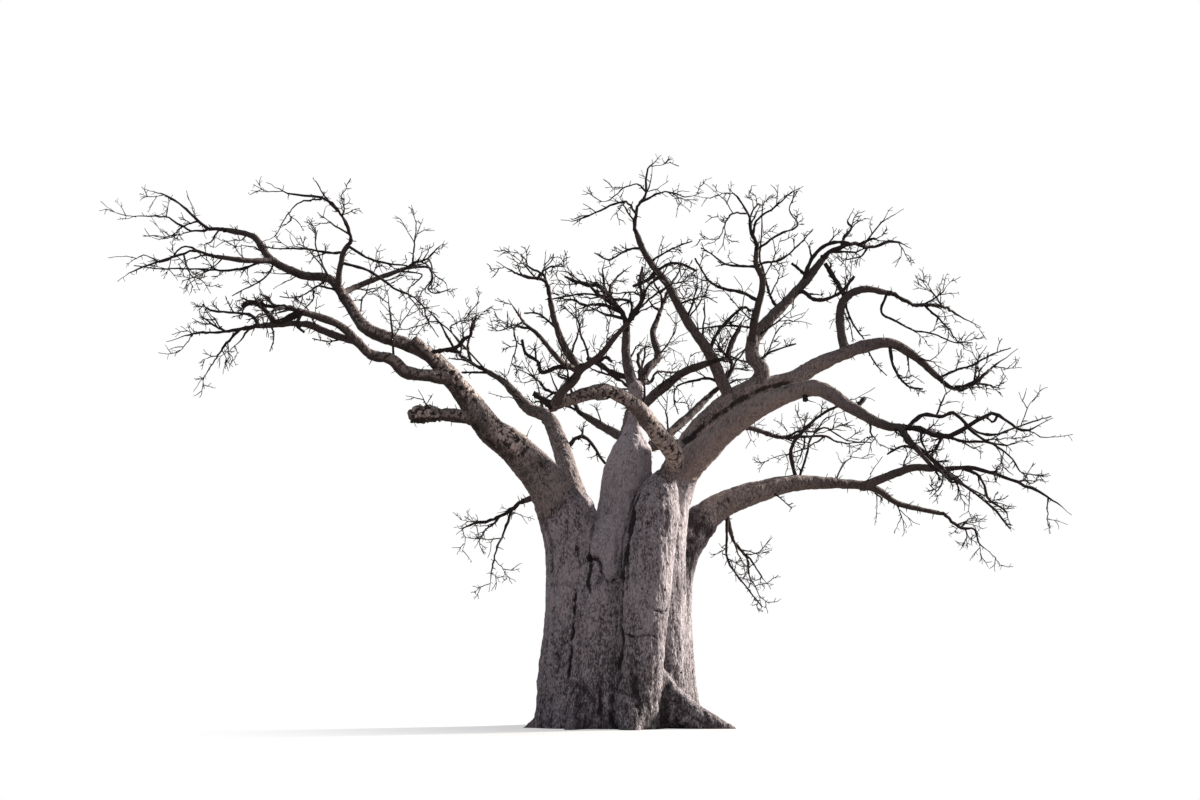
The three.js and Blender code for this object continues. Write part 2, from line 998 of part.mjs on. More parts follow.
// Limbs, each cut clear of its carrier and of the limbs beside its root.
const forms = {};
const solids = { trunk };
const grown = { trunk: trunkSolid(GAP) };
for (const [name, limb] of Object.entries(LIMBS)) {
  const form = limbForm(limb);
  const whole = tube(form.line, form.radii, form.sides);
  let solid = largest(whole.subtract(grown[limb.from]));
  for (const other of Object.keys(solids)) {
    if (solid.intersect(solids[other]).volume() > 0) {
      solid = largest(solid.subtract(grown[other]));
    }
  }
  if (solid.volume() < (1 - MOST_LOST) * whole.volume()) {
    throw new Error(name + " is cut short by another limb");
  }
  forms[name] = boxed(form);
  solids[name] = solid;
  grown[name] = tube(form.line, form.radii, form.sides, GAP);
  tree.add(meshOf(name, solid, barkLimb));
}

// Twig masses, each one body grown on from its bough's tip.
const twigsSoFar = [];
Object.entries(LIMBS).forEach(([name, limb], number) => {
  if (!limb.reaches) return;
  const others = [...Object.values(forms), ...twigsSoFar];
  const twigs = massTwigs(number, limb, forms[name], others);
  const bodies = twigs.map((twig) => tube(twig.line, twig.radii, TWIG_SIDES));
  tree.add(meshOf("twigs_" + name, largest(bodies.reduce((all, body) => all.add(body))), barkTwig));
  twigsSoFar.push(...twigs.map(boxed));
});

export default tree;
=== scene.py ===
import logging
from collections.abc import Sequence
from dataclasses import dataclass, field
from enum import Enum

import bmesh
import bpy
import numpy as np
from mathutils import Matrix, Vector


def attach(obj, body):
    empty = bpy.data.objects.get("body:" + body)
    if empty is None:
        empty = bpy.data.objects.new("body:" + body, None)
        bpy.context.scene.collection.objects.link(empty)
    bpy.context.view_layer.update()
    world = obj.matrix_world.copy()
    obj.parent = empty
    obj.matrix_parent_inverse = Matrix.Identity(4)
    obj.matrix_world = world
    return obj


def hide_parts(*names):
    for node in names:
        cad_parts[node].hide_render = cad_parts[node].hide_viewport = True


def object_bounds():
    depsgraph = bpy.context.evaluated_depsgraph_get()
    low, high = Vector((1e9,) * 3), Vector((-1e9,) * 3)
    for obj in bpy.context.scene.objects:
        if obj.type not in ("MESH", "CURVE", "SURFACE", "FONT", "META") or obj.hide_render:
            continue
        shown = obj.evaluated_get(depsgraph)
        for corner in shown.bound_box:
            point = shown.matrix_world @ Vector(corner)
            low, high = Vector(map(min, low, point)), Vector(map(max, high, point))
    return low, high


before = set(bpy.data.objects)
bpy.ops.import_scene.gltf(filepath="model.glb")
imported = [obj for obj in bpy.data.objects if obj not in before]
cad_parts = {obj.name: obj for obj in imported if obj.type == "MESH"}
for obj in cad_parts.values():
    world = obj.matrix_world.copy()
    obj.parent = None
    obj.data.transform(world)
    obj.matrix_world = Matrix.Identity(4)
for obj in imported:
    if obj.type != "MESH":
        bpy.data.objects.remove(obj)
CAD_BOX = [list(corner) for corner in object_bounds()]
log = logging.getLogger("baobab")

# Places are given as they look from one point in front of the tree: across and up on the
# upright plane through the trunk, and depth behind that plane (less than 0 in front)
EYE = np.array([-0.53, -45.0, 1.7])
EYE_DISTANCE = 45.0
# The part's growth rule, the same one that the solids follow
GAP = 0.0003
MIDDLE_RADIUS = 0.13
LIMB_STEPS = 2
SLIM_STEPS = 1
LEADER_STEPS = 4
SIDE_STEPS = 2
SIDE_TWIGS = 3
WIDE_FORK = 4
LEADER_CROOK = 0.3
TWIG_CROOK = 0.22
TWIG_TAPER = 0.7
LEAST_ROOT = 0.013
LEAST_RADIUS = 0.01
STEM_FIT = 0.96
SPACE_MARGIN = 0.42
HEADROOM = 0.1
TWIG_CLEAR = 0.03
LOWEST_TWIG = 1.2
FIRST_FORK = 0.9
FORK_STEP = 0.75
FORK_RADIUS = 0.8
SIDE_FROM = 0.22
SIDE_SPAN = 0.7
SIDE_FIRST = 0.35
SIDE_DRIFT = 0.1
SIDE_RADIUS = 0.62
LEAN = 0.76
LEAN_DRIFT = 0.475
LENGTH_AT_ROOT = 0.483
LENGTH_LOST = 0.21
LENGTH_LEAST = 0.75
LENGTH_DRIFT = 0.5
TWIG_LIFT = 0.22
FINE_LIFT = 0.06
FINE_LENGTH = 1.5
OFFSHOOT_TWIGS = 0.5
PARENT_TURN = 1.3
GOLDEN_TURN = 2.39996
GOLDEN_STEP = 0.618034
# The numbers that settle the growth rule's random draws
MASS_SEED = 7919
LEADER_SEED = 104729
TWIG_SEED = 15485
CODES_PER_TWIG = 16
DRAW_FACTOR = 48271
DRAW_SPAN = 2147483647
# How finely the bark follows stems, roots and limbs, and how softly limbs join their carriers
STEM_FINENESS = 3
ROOT_FINENESS = 4
LIMB_FINENESS = 4
LIMB_SOFTNESS = 0.55
LIMB_SOFT_RANGE = (0.04, 0.25)
LIMB_TIP_SOFT = 0.02
TUBE_SIDES = 12

# Short names of types
Place = tuple[float, ...]
Spot = tuple[float, float]
Colour = tuple[float, float, float]
Array = np.ndarray
Tree = bpy.types.NodeTree
Socket = bpy.types.NodeSocket
Value = float | Socket
TubeArrays = tuple[Array, Array]


@dataclass(frozen=True)
class Stem:
    """A stem or root of the trunk: places with their radius, and how softly it joins the rest."""

    places: tuple[Place, ...]
    soft_low: float = 0.25
    soft_high: float = 0.12


@dataclass(frozen=True)
class Limb:
    """A bough or fork: what carries it, its radii, its places and where its twigs reach to."""

    carrier: str
    path: tuple[Place, ...]
    radius: tuple[float, float] = (0.0, 0.0)
    radii: tuple[float, ...] = ()
    taper: float = 1.0
    reaches: tuple[Place, ...] = ()


@dataclass(frozen=True)
class Offshoot:
    """A slim side limb: its radius at root and tip, how far back it leads, and its places."""

    radius: tuple[float, float]
    back: float
    path: tuple[Spot, ...]


STEMS: dict[str, Stem] = {
    "centre": Stem((
        (-0.25, -0.25, -0.05, 1.15), (-0.25, 1.5, -0.05, 1.05), (-0.15, 3.2, -0.05, 0.88),
        (-0.03, 4.5, 0, 0.69), (0.07, 5.3, 0.05, 0.615), (0.14, 6.05, 0.1, 0.58),
        (0.23, 6.5, 0.11, 0.5), (0.255, 6.85, 0.12, 0.31), (0.27, 7.2, 0.14, 0.18),
        (0.43, 7.7, 0.19, 0.165), (0.34, 8.15, 0.24, 0.185),
    )),
    "rear": Stem((
        (-0.25, -0.25, 1.2, 0.95), (-0.25, 1.5, 1.2, 0.85), (-0.25, 3.2, 1.25, 0.74),
        (-0.12, 4.4, 1.35, 0.56), (0.02, 5.2, 1.62, 0.43),
    ), 0.4, 0.2),
    "left_rear": Stem((
        (-1.02, -0.25, 0.78, 0.88), (-0.98, 1.5, 0.8, 0.77), (-0.92, 3, 0.86, 0.67),
        (-0.9, 4.3, 0.98, 0.51), (-1.01, 5.2, 1.18, 0.34),
    ), 0.3, 0.15),
    "middle": Stem((
        (-0.56, -0.25, -0.52, 0.8), (-0.56, 1.5, -0.56, 0.66), (-0.54, 3, -0.56, 0.6),
        (-0.48, 4.05, -0.46, 0.47), (-0.36, 4.75, -0.25, 0.24),
    ), 0.4, 0.3),
    "left": Stem((
        (-1.29, -0.25, -0.3, 0.83), (-1.29, 0.5, -0.33, 0.75), (-1.27, 1.5, -0.38, 0.7),
        (-1.215, 3, -0.4, 0.615), (-1.235, 4.2, -0.39, 0.59), (-1.39, 5.08, -0.37, 0.56),
    ), 0.4, 0.1),
    "right": Stem((
        (0.8, -0.25, -0.05, 0.85), (0.83, 1.5, -0.05, 0.76), (0.85, 3, 0, 0.7),
        (0.96, 4.3, 0.06, 0.59), (1.11, 5.2, 0.1, 0.5), (1.29, 5.85, 0.12, 0.44),
    ), 0.25, 0.2),
    "right_rear": Stem((
        (1.12, -0.25, 0.85, 0.79), (1.08, 0.9, 0.88, 0.69), (1.06, 2.4, 0.9, 0.62),
        (1.14, 3.4, 0.95, 0.56), (1.37, 4.15, 1.06, 0.49), (1.76, 4.74, 1.26, 0.42),
    ), 0.12, 0.12),
    "front": Stem((
        (0.33, -0.25, -0.95, 0.66), (0.39, 0.7, -1.08, 0.51), (0.49, 2, -1.12, 0.53),
        (0.56, 3.2, -1.04, 0.59), (0.66, 4.2, -0.93, 0.585), (0.81, 5.05, -0.8, 0.57),
        (0.9, 5.55, -0.73, 0.45), (0.99, 5.9, -0.72, 0.25),
    ), 0.12, 0.16),
}

# Roots that spread from the trunk's foot into the ground
ROOTS: tuple[Stem, ...] = (
    Stem((
        (0.7, 1.3, -0.85, 0.24), (1.15, 0.76, -0.85, 0.26), (1.65, 0.36, -0.9, 0.23),
        (2.15, 0.08, -0.95, 0.19), (2.6, -0.16, -1, 0.15),
    ), 0.16, 0.16),
    Stem(((0.14, 0.62, -1.25, 0.3), (0.18, 0.22, -1.55, 0.27), (0.2, -0.15, -1.85, 0.2)), 0.4, 0.4),
    Stem((
        (-1.6, 0.22, -0.3, 0.34), (-1.98, 0.04, -0.38, 0.19), (-2.36, -0.12, -0.45, 0.1)
    ), 0.15, 0.15),
    Stem((
        (0.75, 0.55, -0.8, 0.4), (1.2, 0.3, -0.85, 0.34), (1.65, 0.08, -0.9, 0.26),
        (2.1, -0.1, -0.95, 0.18),
    ), 0.2, 0.2),
    Stem(((-0.85, 0.65, -0.95, 0.33), (-1.05, 0.2, -1.3, 0.23), (-1.25, -0.12, -1.65, 0.13))),
    Stem(((1.35, 0.6, 0.95, 0.4), (1.65, 0.2, 1.35, 0.26), (1.95, -0.12, 1.8, 0.13))),
    Stem((
        (0.52, 1.7, 1.22, 0.28), (0.6, 0.75, 1.5, 0.4), (0.8, 0.25, 2.05, 0.27),
        (1, -0.12, 2.55, 0.13)
    )),
    Stem(((-0.5, 0.7, 1.75, 0.43), (-0.6, 0.25, 2.25, 0.28), (-0.7, -0.12, 2.75, 0.13))),
    Stem(((-1.45, 0.65, 1.15, 0.42), (-1.8, 0.23, 1.55, 0.26), (-2.1, -0.12, 1.95, 0.13))),
)

LIMBS: dict[str, Limb] = {
    "left_great_bough": Limb(
        carrier="trunk", radius=(0.545, 0.12), taper=1.1,
        path=((-1.36, 4.95, -0.37), (-1.83, 5.83, -0.48), (-2.7, 6.75, -0.8), (-3.18, 7.12, -1),
              (-3.87, 8.05, -1.4), (-4.5, 8.77, -1.7), (-5.2, 9.42, -2.1)),
    ),
    "left_burl_stub": Limb(
        carrier="left_great_bough", radii=(0.15, 0.145, 0.14, 0.21, 0.225, 0.13),
        path=((-3.5, 7.4, -1.18), (-4.1, 7.48, -1.45), (-4.45, 7.51, -1.6), (-4.7, 7.52, -1.7),
              (-4.95, 7.5, -1.78), (-5.15, 7.44, -1.85)),
    ),
    "left_low_bough": Limb(
        carrier="left_great_bough", radius=(0.165, 0.075),
        path=((-4.13, 8.38, -1.55), (-4.7, 8.47, -1.85), (-5.3, 8.56, -2.05), (-5.62, 8.85, -2.2),
              (-6.15, 9, -2.35), (-6.9, 9.7, -2.6), (-7.85, 10.05, -2.85)),
        reaches=((-9.4, 10.23, -3.4), (-9.05, 9.75, -3.9), (-8.9, 10.6, -3.3)),
    ),
    "left_low_fork": Limb(
        carrier="left_low_bough", radius=(0.1, 0.06),
        path=((-6.45, 9.29, -2.45), (-7.2, 9.52, -2.15), (-7.75, 9.74, -2), (-8.9, 9.69, -1.8)),
        reaches=((-11.15, 9.3, -1.5), (-10.45, 8.07, -1.9), (-10.4, 10.23, -1.2)),
    ),
    "left_high_bough": Limb(
        carrier="left_great_bough", radius=(0.185, 0.06),
        path=((-4.15, 8.43, -1.53), (-4.65, 8.93, -1.3), (-5.25, 9.22, -1.1), (-6.26, 9.64, -0.7),
              (-6.77, 10.34, -0.3), (-7.2, 10.88, 0), (-7.8, 10.95, 0.2), (-8.65, 11.37, 0.5),
              (-9.07, 11.92, 0.7), (-9.75, 12.1, 1)),
        reaches=((-11.8, 13.13, 1.5), (-12.45, 12.36, 2.3), (-11.3, 11.9, 1.4)),
    ),
    "left_far_fork": Limb(
        carrier="left_high_bough", radius=(0.075, 0.05),
        path=((-8.56, 11.32, 0.47), (-9.25, 11.33, 0), (-10, 11.43, -0.3)),
        reaches=((-12.4, 10.8, -0.9), (-12.2, 11.24, 0.2), (-10.1, 10.5, -0.9)),
    ),
    "left_top_fork": Limb(
        carrier="left_high_bough", radius=(0.085, 0.055),
        path=((-6.98, 10.61, -0.15), (-6.95, 11, -0.45), (-6.85, 11.53, -0.7),
              (-6.72, 11.75, -0.8)),
        reaches=((-8.8, 13.3, -0.9), (-6.9, 13.1, -1.3), (-7.65, 13.4, -0.4), (-8.9, 11.78, -1.5)),
    ),
    "left_inner_fork": Limb(
        carrier="left_high_bough", radius=(0.08, 0.05),
        path=((-6.9, 10.48, -0.22), (-6.5, 10.68, 0.3), (-6, 10.88, 0.6), (-5.35, 11.12, 0.9)),
        reaches=((-4.4, 11.75, 1.3), (-5.2, 12.6, 1), (-4.25, 10.45, 1.5), (-4.95, 9.95, 0.9)),
    ),
    "left_rear_bough": Limb(
        carrier="trunk", radius=(0.315, 0.065),
        path=((-1, 5.08, 1.15), (-1.25, 5.85, 1.5), (-1.48, 6.7, 2.1), (-1.85, 7.48, 2.7),
              (-2.22, 7.62, 2.95), (-2.87, 8.3, 3.4), (-3.3, 8.57, 3.7)),
        reaches=((-4.85, 10.15, 4.9), (-3.55, 10.2, 4.9), (-4.7, 9, 5)),
    ),
    "left_hanging_bough": Limb(
        carrier="trunk", radius=(0.17, 0.07),
        path=((-1.05, 4.25, 1.05), (-1.6, 5.15, 1.9), (-2.05, 5.48, 2.6), (-2.35, 5.4, 3)),
        reaches=((-4, 4.58, 4.6), (-3.2, 3.2, 3.6), (-3.55, 4.25, 3.6)),
    ),
    "rear_great_bough": Limb(
        carrier="trunk", radius=(0.415, 0.105),
        path=((0, 5, 1.55), (0.08, 5.95, 2.2), (0.12, 6.55, 3.2), (0.15, 7.1, 4.4),
              (0.25, 7.8, 5.6)),
        reaches=((0.7, 9.3, 7.7), (-0.9, 8.7, 7.3), (1.5, 8.5, 7.6)),
    ),
    "rear_left_fork": Limb(
        carrier="rear_great_bough", radius=(0.15, 0.075),
        path=((0.13, 6.87, 3.95), (-0.5, 7.23, 4.3), (-0.95, 7.5, 4.7)),
        reaches=((-2.5, 8.6, 6.2), (-1.7, 8.85, 6.7), (-2.35, 7.7, 5.7)),
    ),
    "rear_right_fork": Limb(
        carrier="rear_great_bough", radius=(0.165, 0.08),
        path=((0.11, 6.5, 3.15), (0.75, 6.75, 3.7), (1.6, 7.43, 4.5), (2.1, 7.93, 5.1)),
        reaches=((3.1, 10.15, 6.2), (3.25, 8.6, 6.6), (2.2, 9.4, 6.6)),
    ),
    "rear_low_fork": Limb(
        carrier="rear_right_fork", radius=(0.105, 0.06),
        path=((0.7, 6.7, 3.65), (1.8, 6.9, 3.8), (2.93, 7.2, 4.2), (3.6, 7.02, 4.5)),
        reaches=((6.05, 6.83, 5.9), (5.43, 7.6, 5.5), (4.2, 6.1, 5.2), (3.3, 6.25, 5.3)),
    ),
    "centre_upright_bough": Limb(
        carrier="trunk", radius=(0.15, 0.095),
        path=((0.33, 8.08, 0.235), (0.2, 8.5, 0.3), (0.11, 9, 0.45), (0.12, 9.6, 0.6)),
        reaches=((-1.5, 11, 1.5), (-1.75, 10.38, 0.6), (0.25, 11.2, 1.6)),
    ),
    "centre_bent_bough": Limb(
        carrier="trunk", radius=(0.11, 0.065),
        path=((0.36, 8.06, 0.24), (0.64, 8.64, 0.5), (0.89, 8.92, 0.8), (0.76, 9.5, 1.1),
              (0.88, 9.87, 1.3)),
        reaches=((1.5, 11.4, 2.3), (0.7, 11.5, 2.6), (1.6, 10.3, 2.6)),
    ),
    "centre_right_bough": Limb(
        carrier="trunk", radius=(0.13, 0.075),
        path=((0.43, 7.65, 0.19), (1, 8.16, -0.15), (1.55, 8.56, -0.55), (2.15, 8.78, -1)),
        reaches=((3, 9.9, -2.3), (2.5, 8.9, -2.7)),
    ),
    "front_arch_bough": Limb(
        carrier="trunk", radius=(0.235, 0.125),
        path=((0.975, 5.82, -0.72), (1.19, 6.12, -0.85), (1.27, 6.5, -1.2), (0.78, 7.13, -1.9),
              (0.33, 7.72, -2.45), (-0.35, 8.07, -2.85), (-1.28, 7.87, -3.25),
              (-1.82, 7.65, -3.45)),
    ),
    "front_upright_bough": Limb(
        carrier="front_arch_bough", radius=(0.115, 0.06),
        path=((-1.64, 7.73, -3.39), (-1.42, 8.1, -3.65), (-1.06, 8.57, -4), (-1.37, 9.1, -4.2),
              (-1.63, 9.78, -4.45), (-1.75, 10.3, -4.6)),
        reaches=((-3.08, 11.3, -5.3), (-2.65, 11.6, -4.6), (-1.3, 11.3, -5.4)),
    ),
    "front_left_fork": Limb(
        carrier="front_upright_bough", radius=(0.075, 0.05),
        path=((-1.09, 8.6, -4.02), (-1.45, 8.78, -4.45), (-1.98, 9.4, -4.9)),
        reaches=((-2.78, 10.35, -5.9), (-3.28, 9.6, -5.5), (-2.78, 8.53, -5.3)),
    ),
    "front_right_fork": Limb(
        carrier="front_upright_bough", radius=(0.08, 0.05),
        path=((-1.06, 8.56, -3.99), (-0.52, 8.97, -4.35), (-0.18, 9.4, -4.7), (0.2, 9.82, -4.95)),
        reaches=((1.3, 11.46, -5.9), (1.88, 11.1, -5.3), (-0.6, 10.55, -6.1)),
    ),
    "right_great_bough": Limb(
        carrier="trunk", radius=(0.425, 0.075), taper=1.2,
        path=((1.26, 5.75, 0.115), (1.52, 6.4, 0.15), (2.1, 7.25, 0.2), (3, 7.98, 0.3),
              (4.15, 8.35, 0.45), (4.7, 8.68, 0.52), (5.78, 9.13, 0.65), (6.55, 9.27, 0.75),
              (7.08, 9, 0.85), (7.75, 8.4, 0.95)),
        reaches=((9.7, 9.13, 1.5), (9.05, 8.87, 0.4), (9.35, 8.15, 1.5)),
    ),
    "right_front_bough": Limb(
        carrier="right_great_bough", radius=(0.365, 0.075),
        path=((1.42, 6.1, 0.1), (1.85, 6.48, -0.35), (2.4, 7, -0.75), (3.2, 7.6, -1.2),
              (4.33, 8.1, -1.8), (4.83, 8.13, -2.1), (5.67, 7.62, -2.6), (6.45, 7.22, -3),
              (6.95, 7.18, -3.25)),
        reaches=((10.5, 7.42, -4.9), (9.75, 6.83, -3.9), (9.83, 5.87, -4.6), (8.3, 7.5, -4.5)),
    ),
    "right_front_fork": Limb(
        carrier="right_front_bough", radius=(0.075, 0.05),
        path=((6.75, 7.19, -3.14), (7.05, 6.8, -3.5), (7.5, 6.27, -3.7)),
        reaches=((8.3, 5.65, -4.1), (7.5, 5.5, -4.6)),
    ),
    "top_bough": Limb(
        carrier="right_great_bough", radius=(0.155, 0.06),
        path=((2.7, 7.78, 0.26), (2.43, 8.37, 0.05), (2.15, 9, -0.2), (1.6, 9.82, -0.5),
              (1.18, 10.63, -0.75), (0.58, 11.5, -1.05), (0.37, 12.02, -1.15)),
        reaches=((0.99, 14, -1.2), (-1.5, 12.35, -2.2), (2.04, 13.05, -0.6), (-0.6, 12.8, -0.3)),
    ),
    "right_winding_bough": Limb(
        carrier="right_great_bough", radius=(0.185, 0.085),
        path=((3.15, 8.03, 0.31), (3.43, 8.57, 0.3), (3.2, 8.93, 0.32), (3.22, 9.33, 0.38),
              (3.77, 10, 0.6), (4.45, 10.73, 0.9), (4.95, 11.35, 1.15)),
        reaches=((7.15, 11.63, 2.1), (5.75, 12.65, 1.7), (6.5, 12, 0.9), (5.4, 11.3, 2.6)),
    ),
    "right_upright_fork": Limb(
        carrier="right_winding_bough", radius=(0.095, 0.06),
        path=((3.2, 9.25, 0.36), (3.25, 9.8, -0.1), (3.48, 10.8, -0.5), (3.31, 11.25, -0.65),
              (3.33, 11.6, -0.7)),
        reaches=((2.65, 13.15, -0.9), (4.5, 13.2, -1.5), (3.58, 13, -0.2), (2.05, 11.7, -1.7)),
    ),
    "right_outer_fork": Limb(
        carrier="right_great_bough", radius=(0.12, 0.07),
        path=((5.48, 9.02, 0.62), (5.37, 9.57, 0.8), (5.43, 10.3, 1), (5.9, 10.6, 1.15),
              (6.53, 10.52, 1.35)),
        reaches=((8.8, 9.67, 2.4), (8, 10, 1.2), (8.45, 9.15, 1.7), (7.3, 11, 2.5)),
    ),
    "right_low_bough": Limb(
        carrier="trunk", radius=(0.405, 0.055), taper=1.7,
        path=((1.7, 4.67, 1.22), (2.35, 5.25, 1.55), (3.42, 5.65, 2), (4.1, 5.81, 2.25),
              (5.5, 5.8, 2.7), (6.15, 5.68, 2.9), (6.65, 5.35, 3.1), (7.7, 5.09, 3.5)),
        reaches=((9.02, 4.02, 4.3), (8.7, 4.95, 4.5), (8.2, 4.25, 3.4)),
    ),
    "right_low_fork": Limb(
        carrier="right_low_bough", radius=(0.115, 0.08),
        path=((5.85, 5.75, 2.8), (6.6, 6.05, 2.7), (7.1, 6.21, 2.55), (7.6, 6.18, 2.4)),
        reaches=((10.88, 5.05, 1.9), (9.4, 4.65, 2.7), (9.1, 6.1, 1.6), (10.1, 5.9, 2.6)),
    ),
    "right_hanging_fork": Limb(
        carrier="right_low_bough", radius=(0.08, 0.05),
        path=((2.5, 5.32, 1.64), (2.56, 4.9, 2.1), (2.65, 4.55, 2.4)),
        reaches=((3.58, 3.27, 3.2), (3.35, 2.8, 2.5)),
    ),
}

